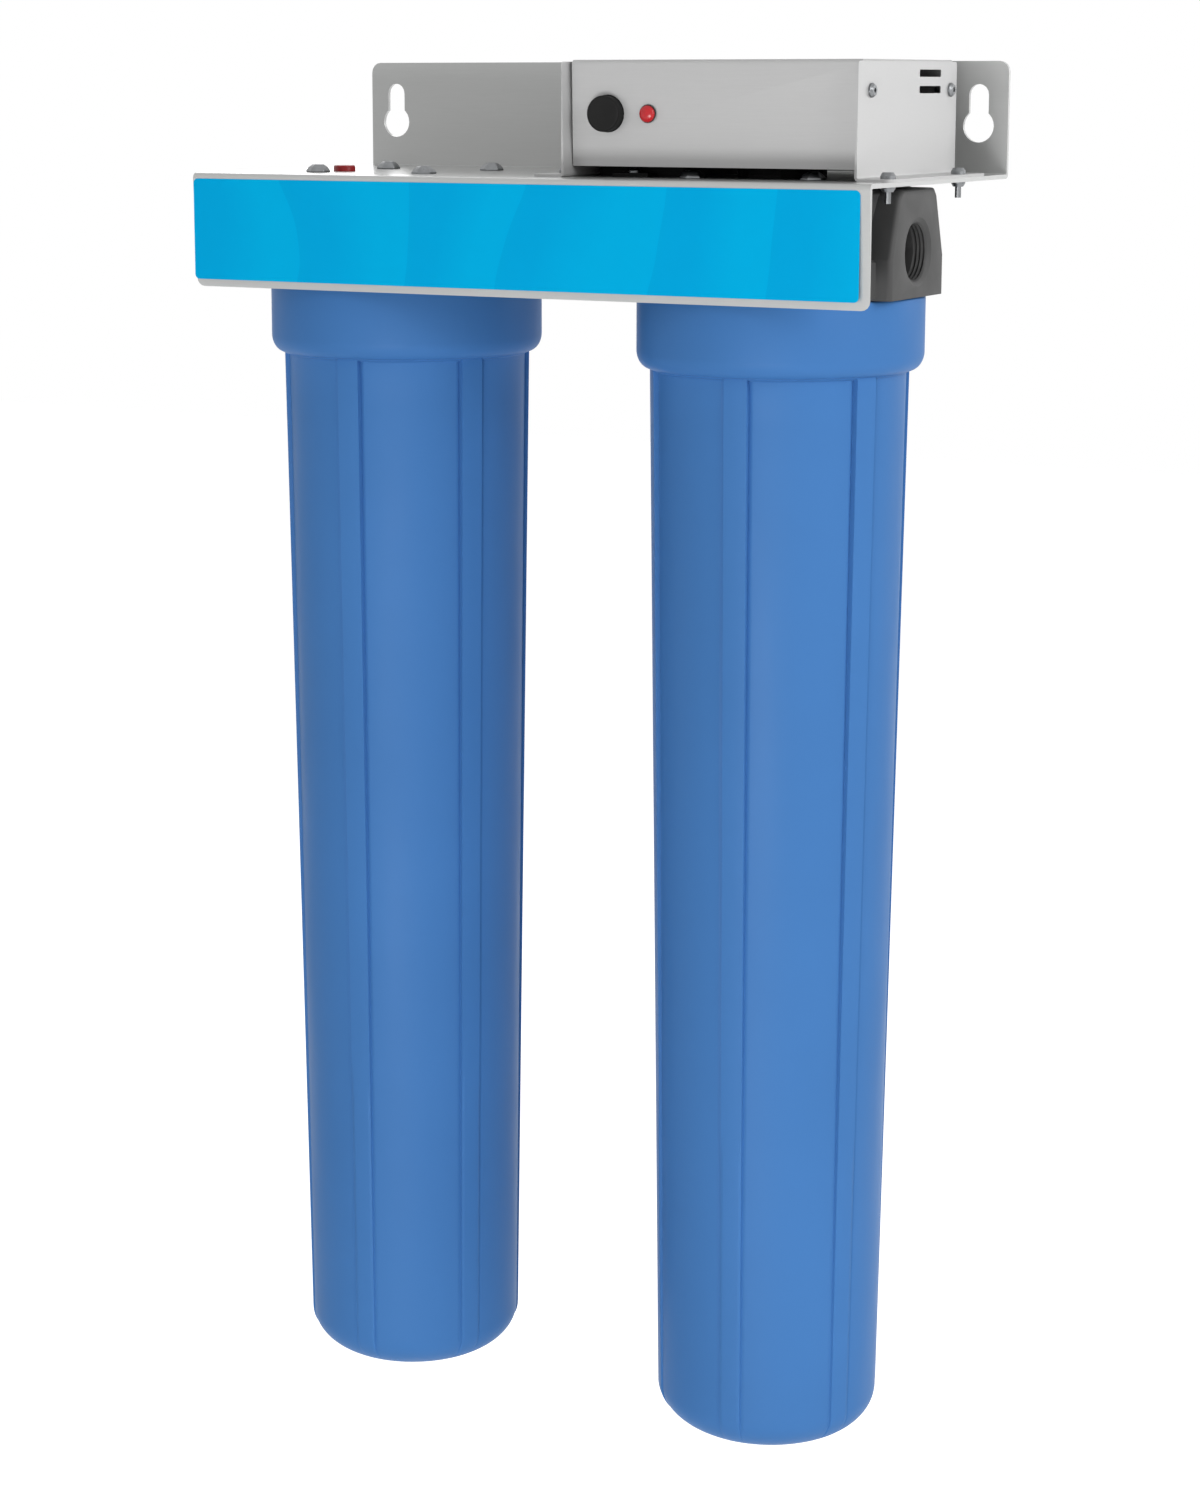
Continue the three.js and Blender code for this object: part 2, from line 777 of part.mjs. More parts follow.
// Angles around the sump with a share of rib height at each: rib tops, their flanks, and panels
function ribSamples(azimuth) {
  const halfRib = ribWidth / 2 / sumpTopRadius;
  const flank = ribHeight / sumpTopRadius;
  const sector = (2 * Math.PI) / sumpRibs;
  const panelSteps = 4;
  const panelStart = halfRib + flank;
  const samples = [];
  for (let rib = 0; rib < sumpRibs; rib += 1) {
    const middle = THREE.MathUtils.degToRad(azimuth - 90) + rib * sector;
    for (const offset of [-halfRib, 0, halfRib]) {
      samples.push([middle + offset, 1]);
    }
    for (let i = 0; i <= panelSteps; i += 1) {
      const offset = panelStart + ((sector - 2 * panelStart) * i) / panelSteps;
      samples.push([middle + offset, 0]);
    }
  }
  return samples;
}

// Outer radius of the sump's straight body at a depth below the plate
function bodyRadius(depth) {
  const start = sumpTop + collarStraight + collarRound;
  const share = (depth - start) / (sumpStraightEnd - start);
  return sumpTopRadius + (sumpBottomRadius - sumpTopRadius) * share;
}

// Outside of the sump from its foot up to the rim, as [radius, depth, panel recess]
function sumpOutside() {
  const base = sumpStraightEnd + shoulderHeight;
  const foot = base + sumpFootHeight;
  const footEdge = sumpFootHeight * 0.5;
  const rows = [
    [sumpFootRadius - footEdge, foot, 0], [sumpFootRadius, foot - footEdge, 0],
    [sumpFootRadius, base, 0],
  ];
  for (const turn of quarter(5).reverse()) {
    const radius = sumpBottomRadius - shoulderWidth * (1 - Math.cos(turn));
    const recess = turn === 0 ? ribHeight * footRecessShare : 0;
    if (radius > sumpFootRadius + 2 * footEdge) {
      rows.push([radius, sumpStraightEnd + shoulderHeight * Math.sin(turn), recess]);
    }
  }
  const start = sumpTop + collarStraight + collarRound;
  rows.push([bodyRadius(start), start, ribHeight]);
  for (const turn of quarter(3).reverse().slice(1)) {
    const radius = collarRadius - collarOverhang * (1 - Math.cos(turn));
    rows.push([radius, sumpTop + collarStraight + collarRound * Math.sin(turn), 0]);
  }
  rows.push([collarRadius, sumpTop + headEdge, 0], [collarRadius - headEdge, sumpTop, 0]);
  return rows;
}

// Room inside the sump: seal groove and bore at the rim, then the well down to the centre post
const threadClearance = 0.4;
const boreRadius = threadRadius + threadClearance;
const boreEnd = headBottom + skirtLength + gap + threadPitch;
const wellTop = boreEnd + threadDepth + sumpWall;
const wellFloor = sumpStraightEnd + shoulderHeight - sumpFloor;
const wellSides = 24;

function sumpBore() {
  const grooveOut = sealRadius + sealThick / 2 + gap;
  const grooveIn = sealRadius - sealThick / 2 - gap;
  const grooveFloor = sumpTop + sealThick + gap;
  const past = sumpTop - overrun;
  const rim = rod(boreRadius, -boreEnd, -past, wideSides);
  const groove = pipe(grooveIn, grooveOut, -grooveFloor, -past, wideSides);
  return [rim, groove];
}

function sumpWell() {
  const topRadius = bodyRadius(wellTop) - sumpWall - ribHeight;
  const rise = wellFloor - sumpStraightEnd;
  const rows = [[0, postHeight - wellFloor], [postRadius - headEdge, postHeight - wellFloor],
    [postRadius, postHeight - headEdge - wellFloor], [postRadius, seatHeight - wellFloor],
    [seatRadius, seatHeight - wellFloor], [seatRadius, -wellFloor]];
  for (const turn of quarter(3).reverse()) {
    const radius = wellEndRadius - (wellEndRadius - sumpFootRadius) * (1 - Math.cos(turn));
    rows.push([radius, -sumpStraightEnd - rise * Math.sin(turn)]);
  }
  rows.push([topRadius, -wellTop], [boreRadius, -boreEnd], [0, -boreEnd]);
  return turned(rows, wellSides);
}

function sump(azimuth) {
  const samples = ribSamples(azimuth);
  const sections = sumpOutside().map(([radius, depth, recess]) => (
    samples.map(([turn, share]) => {
      const reach = radius - recess * (1 - share);
      return [reach * Math.cos(turn), reach * Math.sin(turn), -depth];
    })));
  const whole = lofted(sections);
  return cut(whole, ...sumpBore(), sumpWell());
}

const sealSides = 40;
const sealSteps = 4;
const sumpSeal = ringSeal(sealRadius, sealThick, -sumpTop - sealThick / 2, sealSides, sealSteps);

for (const [housing, side] of [[leftHousing, 'left'], [rightHousing, 'right']]) {
  addPiece(`sump_${side}`, sump(ribAzimuths[side]), sumpBlue, [0, 0, 0], housing);
  addPiece(`sump_seal_${side}`, sumpSeal, rubberBlack, [0, 0, 0], housing);
}

// Filter cartridge: a wound sleeve between the head's post and the sump's seat
const cartridgeRadius = 31.5;
const cartridgeBore = 13.8;
const cartridgeEdge = 1.5;
const cartridgeTop = headBottom + headPostLength + gap;
const cartridgeBottom = wellFloor - seatHeight - gap;
const cartridge = turned([
  [cartridgeBore, -cartridgeBottom], [cartridgeRadius - cartridgeEdge, -cartridgeBottom],
  [cartridgeRadius, cartridgeEdge - cartridgeBottom], [cartridgeRadius, -cartridgeTop - cartridgeEdge],
  [cartridgeRadius - cartridgeEdge, -cartridgeTop], [cartridgeBore, -cartridgeTop],
  [cartridgeBore, -cartridgeBottom],
], roundSides);
addPiece('filter_cartridge', cartridge, filterWhite, [0, 0, 0], leftHousing);

// Relief button, its return spring and its seal
const springWire = 0.9;
const springCoil = 3.9;
const springTurns = 4;

function reliefButton() {
  const shoulderTop = -bracketSheet - gap;
  const shoulderBottom = shoulderTop - reliefShoulderThick;
  const edge = 0.6;
  return turned([
    [0, -cavityTop + headEdge], [reliefStem, -cavityTop + headEdge], [reliefStem, -reliefHeadBottom],
    [reliefRadius, -reliefHeadBottom], [reliefRadius, shoulderBottom], [reliefShoulder, shoulderBottom],
    [reliefShoulder, shoulderTop], [reliefRadius, shoulderTop], [reliefRadius, reliefProud - edge],
    [reliefRadius - edge, reliefProud], [0, reliefProud],
  ], mediumSides);
}

function reliefSpring() {
  const half = springWire / 2;
  const low = -reliefBore + gap + half;
  const high = -reliefHeadBottom - gap - half;
  const pitch = (high - low) / springTurns;
  const section = [
    [springCoil - half, -half], [springCoil + half, -half], [springCoil + half, half],
    [springCoil - half, half],
  ];
  return helix(section, pitch, springTurns, thinSides, low);
}

const reliefPlace = [reliefX, reliefY, 0];
const reliefSeal = ringSeal(
  reliefStem + gap + reliefSealThick / 2, reliefSealThick, -reliefSealDepth, smallSides, sealSteps);
addPiece('relief_button', reliefButton(), signalRed, reliefPlace, leftHousing);
addPiece('relief_spring', reliefSpring(), stainless, reliefPlace, leftHousing);
addPiece('relief_seal', reliefSeal, rubberBlack, reliefPlace, leftHousing);

// Quartz sleeve, its seal and the gland nut that squeezes it
const sleeveRoundSteps = 3;

function quartzSleeve() {
  const inner = sleeveRadius - sleeveWall;
  const dome = sleeveBottom - sleeveRadius;
  const outside = quarter(sleeveRoundSteps).map((turn) => (
    [sleeveRadius * Math.sin(turn), -dome - sleeveRadius * Math.cos(turn)]));
  const inside = quarter(sleeveRoundSteps).reverse().map((turn) => (
    [inner * Math.sin(turn), -dome - inner * Math.cos(turn)]));
  return turned([...outside, [sleeveRadius, sleeveTop], [inner, sleeveTop], ...inside], mediumSides);
}

const sleeveSealThick = 2.4;
const sleeveSealRadius = sleeveRadius + gap + sleeveSealThick / 2;
const sleeveSeal = ringSeal(
  sleeveSealRadius, sleeveSealThick, gap - neckFloor + sleeveSealThick / 2, roundSides, sealSteps);

function ribbedDisc(low, high) {
  const shape = new THREE.Shape();
  for (let i = 0; i < 2 * nutRibs; i += 1) {
    const turn = (Math.PI * i) / nutRibs;
    const radius = nutRadius - (i % 2) * nutRibHeight;
    const corner = [radius * Math.cos(turn), radius * Math.sin(turn)];
    if (i === 0) {
      shape.moveTo(...corner);
    } else {
      shape.lineTo(...corner);
    }
  }
  return alongZ(shape, low, high);
}

function glandNut() {
  const roof = nutTop - nutFlange;
  const plunger = sleeveSealThick - neckFloor + 2 * gap;
  const well = rod(neckRadius + gap, -overrun, roof, mediumSides);
  const flange = rod(nutRadius, 0, nutFlange / 2, roundSides);
  const body = cut(join(ribbedDisc(0, nutTop), flange), well);
  const ring = rod(neckCounterbore - gap, plunger, nutTop - nutFlange / 2, mediumSides);
  const sleeveSpace = rod(sleeveRadius + gap, plunger - overrun, sleeveTop + nutFlange, mediumSides);
  const hole = rod(lampBaseRadius + gap, -overrun, nutTop + overrun, mediumSides);
  return cut(join(body, ring), sleeveSpace, hole);
}

addPiece('quartz_sleeve', quartzSleeve(), quartz, [0, 0, 0], rightHousing);
addPiece('sleeve_seal', sleeveSeal, rubberBlack, [0, 0, 0], rightHousing);
addPiece('gland_nut', glandNut(), black, [0, 0, 0], rightHousing);

// Ultraviolet lamp and the plug on its base
const lampBaseLength = 34;
const lampEnd = 3;
const lamp = turned([
  [0, -lampBottom], [lampRadius - lampEnd, -lampBottom], [lampRadius, lampEnd - lampBottom],
  [lampRadius, lampBaseTop - lampBaseLength], [lampBaseRadius, lampBaseTop - lampBaseLength],
  [lampBaseRadius, lampBaseTop], [0, lampBaseTop],
], mediumSides);
addPiece('uv_lamp', lamp, quartz, [0, 0, 0], rightHousing);

const plugRadius = 14;
const plugTop = 31;
const plugEdge = 1.5;
const plug = turned([
  [lampBaseRadius + gap, nutTop + gap], [plugRadius, nutTop + gap], [plugRadius, plugTop - plugEdge],
  [plugRadius - plugEdge, plugTop], [0, plugTop], [0, lampBaseTop + gap],
  [lampBaseRadius + gap, lampBaseTop + gap], [lampBaseRadius + gap, nutTop + gap],
], mediumSides);
addPiece('lamp_plug', plug, black, [0, 0, 0], rightHousing);

// Stainless liner: it keeps the lamp's light off the plastic sump and guides the water
const linerHeadroom = 4;
const linerTopDepth = cavityTop + linerHeadroom;
const linerNotch = 14;
const linerLift = 1.5;

function chamberLiner() {
  const share = 1 - (wellEndRadius - linerRadius) / (wellEndRadius - sumpFootRadius);
  const rise = (wellFloor - sumpStraightEnd) * Math.sqrt(1 - share * share);
  const bottom = linerLift - sumpStraightEnd - rise;
  const tube = pipe(linerRadius - linerWall, linerRadius, bottom, -linerTopDepth, wellSides);
  const reach = linerRadius + overrun;
  const half = linerNotch / 2;
  const across = block([-reach, -half, bottom - overrun], [reach, half, bottom + linerNotch]);
  const along = block([-half, -reach, bottom - overrun], [half, reach, bottom + linerNotch]);
  return cut(tube, across, along);
}

addPiece('chamber_liner', chamberLiner(), stainless, [0, 0, 0], rightHousing);

// Nipple between the two heads
const nippleGrip = 15;
const nippleBore = 9.6;
const nippleMiddle = 13.3;
const nippleShoulder = 2;

function connectingNipple() {
  const span = housingSpacing - 2 * portReach;
  const end = portRadius - gap;
  return toX(turned([
    [nippleBore, -nippleGrip], [end, -nippleGrip], [end, nippleShoulder],
    [nippleMiddle, nippleShoulder], [nippleMiddle, span - nippleShoulder], [end, span - nippleShoulder],
    [end, span + nippleGrip], [nippleBore, span + nippleGrip], [nippleBore, -nippleGrip],
  ], roundSides));
}

addPiece('connecting_nipple', connectingNipple(), nippleGrey,
  [leftAxis + portReach, axisDepth, -portHeight]);

// Ballast box

// Cross-section of an end panel, drawn for the right one: panel up, foot out to the right
function endPanelProfile(outer) {
  const shape = new THREE.Shape();
  const inner = outer - boxSheet;
  const bendX = outer + footBend;
  const bendZ = boxSheet + footBend;
  shape.moveTo(inner, endPanelHeight);
  shape.absarc(bendX, bendZ, footBend + boxSheet, Math.PI, 1.5 * Math.PI, false);
  shape.lineTo(outer + footWidth, 0);
  shape.lineTo(outer + footWidth, boxSheet);
  shape.absarc(bendX, bendZ, footBend, 1.5 * Math.PI, Math.PI, true);
  shape.lineTo(outer, endPanelHeight);
  return shape;
}

function ventCutter(outer, height) {
  const half = ventWidth / 2;
  const slot = roundedRectangle(
    ventMiddle - ventLength / 2, ventMiddle + ventLength / 2, height - half, height + half, half / 2);
  return alongX(slot, outer - boxSheet - overrun, outer + overrun);
}

function sideHole(outer, y, z, radius) {
  return toX(rod(radius, -boxSheet - overrun, overrun)).translate(outer, y, z);
}

// The right end panel; the left one is its mirror image about the box's middle
const panelCorner = 1.5;

function rightEndPanel(footScrewYs, extras) {
  const footEnd = boxRight + footWidth;
  const cutters = [
    ...ventHeights.map((height) => ventCutter(boxRight, height)),
    ...[coverScrewFront, coverScrewBack].map((y) => (
      sideHole(boxRight, y, coverScrewHeight, coverScrewShank + holeClearance))),
    ...footScrewYs.map((y) => rod(footScrewShank + holeClearance, -overrun, boxSheet + overrun)
      .translate(boxRight + footScrewReach, y, 0)),
    alongZ(cornerWaste(footEnd, boxFront, -1, 1, footCorner), -overrun, boxSheet + overrun),
    alongZ(cornerWaste(footEnd, boxBack, -1, -1, footCorner), -overrun, boxSheet + overrun),
    alongX(cornerWaste(boxFront, endPanelHeight, 1, -1, panelCorner),
      boxRight - boxSheet - overrun, boxRight + overrun),
    alongX(cornerWaste(boxBack, endPanelHeight, -1, -1, panelCorner),
      boxRight - boxSheet - overrun, boxRight + overrun),
    ...extras,
  ];
  return cut(alongY(endPanelProfile(boxRight), boxFront, boxBack), ...cutters);
}

// Mirrors a piece of the box about its middle plane
function mirrored(shape) {
  const middle = (boxLeft + boxRight) / 2;
  const geometry = asGeometry(shape);
  return geometry.translate(-middle, 0, 0).scale(-1, 1, 1).translate(middle, 0, 0);
}

const grommetY = 77.5;
const grommetZ = 41;
const grommetHole = 6.5;
const cordHole = sideHole(boxRight, grommetY, grommetZ, grommetHole);

addPiece('ballast_end_right', rightEndPanel([footScrewFrontRight, footScrewBack], []), boxGrey);
addPiece('ballast_end_left', mirrored(rightEndPanel([footScrewFrontLeft, footScrewBack], [cordHole])),
  boxGrey);

// Grommet for the mains lead, in the left end panel; no lead shows in the picture
const grommetFlange = 9;
const grommetBore = 3.6;
const grommetLip = 1.6;
const grommetNeck = 5.8;
const grommet = toX(turned([
  [grommetBore, -boxSheet - grommetLip - gap], [grommetFlange, -boxSheet - grommetLip - gap],
  [grommetFlange, -boxSheet - gap], [grommetHole - gap, -boxSheet - gap], [grommetHole - gap, gap],
  [grommetFlange, gap], [grommetFlange, gap + grommetLip], [grommetNeck, gap + 2 * grommetLip],
  [grommetBore, gap + 2 * grommetLip], [grommetBore, -boxSheet - grommetLip - gap],
], mediumSides));
addPiece('cord_grommet', grommet.rotateZ(Math.PI), rubberBlack, [boxLeft, grommetY, grommetZ]);

// Cover: front, top and back in one sheet, with a tab at each side screw
const tabLength = 13;
const tabHeight = 17;
const coverBend = 2;

function coverProfile() {
  const top = endPanelHeight + coverLip;
  const innerBend = coverBend - boxSheet;
  const shape = new THREE.Shape();
  shape.moveTo(coverFront, coverBottom);
  shape.absarc(coverFront + coverBend, top - coverBend, coverBend, Math.PI, Math.PI / 2, true);
  shape.absarc(coverBack - coverBend, top - coverBend, coverBend, Math.PI / 2, 0, true);
  shape.lineTo(coverBack, coverBottom);
  shape.lineTo(coverBack - boxSheet, coverBottom);
  shape.absarc(coverBack - coverBend, top - coverBend, innerBend, 0, Math.PI / 2, false);
  shape.absarc(coverFront + coverBend, top - coverBend, innerBend, Math.PI / 2, Math.PI, false);
  shape.lineTo(coverFront + boxSheet, coverBottom);
  return shape;
}

function frontHole(x, z, radius, sides = roundSides) {
  return toY(rod(radius, coverFront - overrun, coverFront + boxSheet + overrun, sides)).translate(x, 0, z);
}

function cover() {
  const left = boxLeft + boxSheet + gap;
  const right = boxRight - boxSheet - gap;
  const overlap = boxSheet / 2;
  const low = coverScrewHeight - tabHeight / 2;
  const high = coverScrewHeight + tabHeight / 2;
  const tabs = [];
  const holes = [];
  for (const [from, to] of [[left, left + boxSheet], [right - boxSheet, right]]) {
    tabs.push(block([from, coverFront + overlap, low], [to, coverFront + tabLength, high]));
    tabs.push(block([from, coverBack - tabLength, low], [to, coverBack - overlap, high]));
    for (const y of [coverScrewFront, coverScrewBack]) {
      const hole = toX(rod(coverScrewShank + holeClearance, from - overrun, to + overrun));
      holes.push(hole.translate(0, y, coverScrewHeight));
    }
  }
  holes.push(frontHole(buttonX, panelHeight, buttonRadius + holeClearance));
  holes.push(frontHole(lampX, panelHeight, lensStem + holeClearance, smallSides));
  return cut(join(alongX(coverProfile(), left, right), ...tabs), ...holes);
}

addPiece('ballast_cover', cover(), boxGrey);

// Pan-head screws: a domed head above z = 0 and a plain shank below it
function panScrew(headRadius, headHeight, shankRadius, length, driveRadius) {
  const edge = headHeight * 0.45;
  const head = turned([
    [0, 0], [headRadius, 0], [headRadius, edge], [headRadius * 0.72, headHeight], [0, headHeight],
  ], smallSides);
  const drive = rod(driveRadius, headHeight * 0.55, headHeight + overrun, 6);
  return cut(join(head, rod(shankRadius, -length, edge, thinSides)), drive);
}

const coverScrewHead = 3.15;
const coverScrewCap = 2;
const coverScrewLength = 7;
const coverScrewDrive = 1.2;

for (const [endName, y] of [['front', coverScrewFront], ['rear', coverScrewBack]]) {
  const screw = () => toX(asGeometry(panScrew(
    coverScrewHead, coverScrewCap, coverScrewShank, coverScrewLength, coverScrewDrive)));
  addPiece(`cover_screw_right_${endName}`, screw(), zinc, [boxRight, y, coverScrewHeight]);
  addPiece(`cover_screw_left_${endName}`, screw().rotateZ(Math.PI), zinc,
    [boxLeft, y, coverScrewHeight]);
}

// Foot screws and the flanged push nuts under the plate
const footScrewHead = 3.4;
const footScrewCap = 2.8;
const footScrewDrive = 1.3;
const footScrewTip = 9.3;
const footNutFlange = 3.25;
const footNutHub = 2.3;
const footNutHeight = 2.4;
const footNutFlangeThick = 0.9;

function footNut() {
  const bore = footScrewShank + gap;
  const top = -bracketSheet;
  const flangeLow = top - footNutFlangeThick;
  return turned([
    [bore, top - footNutHeight], [footNutHub, top - footNutHeight], [footNutFlange, flangeLow],
    [footNutFlange, top], [bore, top], [bore, top - footNutHeight],
  ], smallSides);
}

for (const { name, x, y } of footScrewPlaces()) {
  const screw = panScrew(
    footScrewHead, footScrewCap, footScrewShank, footScrewTip + boxSheet, footScrewDrive);
  addPiece(`foot_screw_${name}`, screw, zinc, [x, y, boxSheet]);
  addPiece(`foot_nut_${name}`, footNut(), zinc, [x, y, 0]);
}

// Inside the ballast box
const ballastScrewLength = 5.6;
const ballastScrewHead = 3;
const ballastScrewCap = 2;

function ballast() {
  const footprint = roundedRectangle(
    ballastLeft, ballastRight, ballastFront, ballastFront + ballastDepth, ballastCorner);
  const half = ballastTabWidth / 2;
  const tab = block(
    [ballastTabX - half, ballastFront - ballastTab, 0],
    [ballastTabX + half, ballastFront + ballastDepth + ballastTab, ballastTabThick]);
  const holes = ballastScrewPlaces.map(({ y }) => (
    rod(footScrewShank + holeClearance, -overrun, ballastTabThick + overrun)
      .translate(ballastTabX, y, 0)));
  return cut(join(alongZ(footprint, 0, ballastHeight), tab), ...holes);
}

addPiece('ballast_module', ballast(), black);
for (const { name, y } of ballastScrewPlaces) {
  const screw = panScrew(
    ballastScrewHead, ballastScrewCap, footScrewShank, ballastScrewLength, footScrewDrive);
  addPiece(`ballast_screw_${name}`, screw, zinc, [ballastTabX, y, ballastTabThick]);
}

// Control board behind the front panel, on two spacers, with the switch that the button works
const boardInset = 7.4;
const boardReach = 13.3;
const boardLeft = boxLeft + boardInset;
const boardRight = lampX + boardReach;
const boardLow = 15.5;
const boardHigh = 44;
const boardThick = 1.6;
const boardStandoff = 8.4;
const spacerRadius = 2.4;
const spacerInset = 4;
const switchSize = 7;
const buttonFlange = 9.2;
const buttonFlangeThick = 1.3;
const buttonStem = 3;
const buttonStemLength = 1.6;
const innerFace = coverFront + boxSheet;
const boardFront = innerFace + boardStandoff;
const buttonFlangeBack = innerFace + gap + buttonFlangeThick;

function controlBoard() {
  const board = block([boardLeft, boardFront, boardLow], [boardRight, boardFront + boardThick, boardHigh]);
  const spacers = [[boardLeft + spacerInset, boardHigh], [boardRight - spacerInset, boardLow]].map(
    ([x, z], i) => toY(rod(spacerRadius, innerFace, boardFront + overrun / 2)).translate(
      x, 0, z + (i ? spacerInset : -spacerInset)));
  const half = switchSize / 2;
  const switchFront = buttonFlangeBack + buttonStemLength + buttonTravel + gap;
  const body = block(
    [buttonX - half, switchFront, panelHeight - half],
    [buttonX + half, boardFront + overrun / 2, panelHeight + half]);
  return join(board, ...spacers, body);
}

addPiece('control_board', controlBoard(), boardGreen);

// Push button: it slides back through the front panel and is kept by its flange
function pushButton() {
  const front = coverFront - buttonProud;
  const edge = 0.8;
  return toY(turned([
    [0, front], [buttonRadius - edge, front], [buttonRadius, front + edge],
    [buttonRadius, innerFace + gap], [buttonFlange, innerFace + gap], [buttonFlange, buttonFlangeBack],
    [buttonStem, buttonFlangeBack], [buttonStem, buttonFlangeBack + buttonStemLength],
    [0, buttonFlangeBack + buttonStemLength],
  ], roundSides));
}

addPiece('push_button', pushButton(), black, [buttonX, 0, panelHeight]);

// Signal lamp: a domed red lens whose stem passes a thin dark ring and the panel
const bezelOuter = 4.1;
const bezelThick = 0.6;

function signalLens() {
  const back = coverFront - bezelThick;
  const rim = back - lensProud * 0.35;
  return toY(turned([
    [0, back - lensProud], [lensRadius * 0.5, back - lensProud * 0.9],
    [lensRadius * 0.85, back - lensProud * 0.6], [lensRadius, rim], [lensRadius, back],
    [lensStem, back], [lensStem, boardFront - gap], [0, boardFront - gap],
  ], mediumSides));
}

const bezel = toY(pipe(lensStem + gap, bezelOuter, coverFront - bezelThick, coverFront, mediumSides));
addPiece('signal_lamp_lens', signalLens(), lensRed, [lampX, 0, panelHeight]);
addPiece('signal_lamp_ring', bezel, rubberBlack, [lampX, 0, panelHeight]);

// Lamp lead: from the plug's top over to the ballast's side
const leadRadius = 2.6;
const leadSteps = 22;
const leadRise = 4.5;
const leadRoute = [
  [rightAxis, axisDepth, plugTop + gap],
  [rightAxis, axisDepth, plugTop + leadRise],
  [267, 71, 42],
  [256, 74, 42.8],
  [248, 77, 36],
  [245, 79.5, 25],
  [240.5, 81, 18.6],
  [ballastRight + gap, 81.2, 18],
];
addPiece('lamp_lead', bentBar(leadRoute, leadRadius, leadSteps, thinSides), rubberBlack);

export default purifier;
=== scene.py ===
# A two-stage ultraviolet water purifier on its wall bracket, seen from the front right.
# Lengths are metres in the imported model's frame: +Z up, the wall behind at y = 0, front towards -Y.

import json
import math

import bmesh
import bpy
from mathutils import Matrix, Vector


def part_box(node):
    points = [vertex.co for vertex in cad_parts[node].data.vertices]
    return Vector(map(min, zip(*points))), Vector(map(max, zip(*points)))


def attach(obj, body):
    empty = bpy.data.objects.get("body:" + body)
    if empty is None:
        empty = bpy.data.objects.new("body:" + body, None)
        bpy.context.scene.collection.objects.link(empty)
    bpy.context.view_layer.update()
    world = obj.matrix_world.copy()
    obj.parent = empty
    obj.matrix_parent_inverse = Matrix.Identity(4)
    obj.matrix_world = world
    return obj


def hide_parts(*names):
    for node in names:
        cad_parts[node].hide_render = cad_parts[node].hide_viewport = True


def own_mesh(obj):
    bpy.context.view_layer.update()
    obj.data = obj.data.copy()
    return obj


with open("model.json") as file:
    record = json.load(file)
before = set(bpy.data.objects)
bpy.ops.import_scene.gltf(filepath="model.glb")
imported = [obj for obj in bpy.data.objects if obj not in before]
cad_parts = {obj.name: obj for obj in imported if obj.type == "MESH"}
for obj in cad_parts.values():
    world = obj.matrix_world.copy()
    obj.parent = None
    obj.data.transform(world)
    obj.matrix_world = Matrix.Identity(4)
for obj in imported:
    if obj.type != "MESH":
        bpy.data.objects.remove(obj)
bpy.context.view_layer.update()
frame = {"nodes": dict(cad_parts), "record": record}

MM = 0.001
NODES = frame["nodes"]


# Camera, in the photograph's place; angles are degrees

CAMERA_PLACE = Vector((0.6862, -1.3604, 0.0060))
CAMERA_YAW = 28.876
CAMERA_PITCH = 10.424
IMAGE_SIZE = (1200, 1500)
FOCAL_PIXELS = 3081.0
AXIS_PIXEL = (559.7, 648.2)
SENSOR = 36.0
FARTHEST_SEEN = 50


def add_camera():
    data = bpy.data.cameras.new("camera")
    data.sensor_fit = "VERTICAL"
    data.sensor_height = SENSOR
    data.sensor_width = SENSOR
    data.lens = FOCAL_PIXELS * SENSOR / IMAGE_SIZE[1]
    data.shift_x = (IMAGE_SIZE[0] / 2 - AXIS_PIXEL[0]) / IMAGE_SIZE[1]
    data.shift_y = (AXIS_PIXEL[1] - IMAGE_SIZE[1] / 2) / IMAGE_SIZE[1]
    data.clip_end = FARTHEST_SEEN
    camera = bpy.data.objects.new("camera", data)
    camera.location = CAMERA_PLACE
    camera.rotation_euler = (math.radians(90 - CAMERA_PITCH), 0, math.radians(CAMERA_YAW))
    bpy.context.scene.collection.objects.link(camera)
    bpy.context.scene.camera = camera


# Light: a pale room, a large soft lamp at the right, a low one in front and two behind

WHITE = (1, 1, 1, 1)
ROOM_LIGHT = 0.35
LAMPS = {
    "side": dict(place=(2.6, -0.5, 0.9), target=(0, -0.1, -0.25), size=(2.0, 1.2), watts=40),
    "front": dict(place=(0.5, -2.1, -0.75), target=(0, -0.1, -0.1), size=(1.0, 0.36), watts=21),
    "back_right": dict(place=(1.5, 1.7, 0.5), target=(0.15, -0.1, -0.1), size=(0.9, 0.9), watts=9),
    "back_left": dict(place=(-1.5, 1.9, 0.4), target=(0, -0.1, -0.25), size=(1.4, 1.4), watts=8),
}


def add_area_light(name, place, target, size, watts):
    """A soft rectangular lamp at a place, turned to its target."""
    data = bpy.data.lights.new(name, "AREA")
    data.shape = "RECTANGLE"
    data.size, data.size_y = size
    data.energy = watts
    lamp = bpy.data.objects.new(name, data)
    lamp.location = place
    lamp.rotation_euler = (Vector(target) - Vector(place)).to_track_quat("-Z", "Y").to_euler()
    lamp.visible_camera = False
    bpy.context.scene.collection.objects.link(lamp)


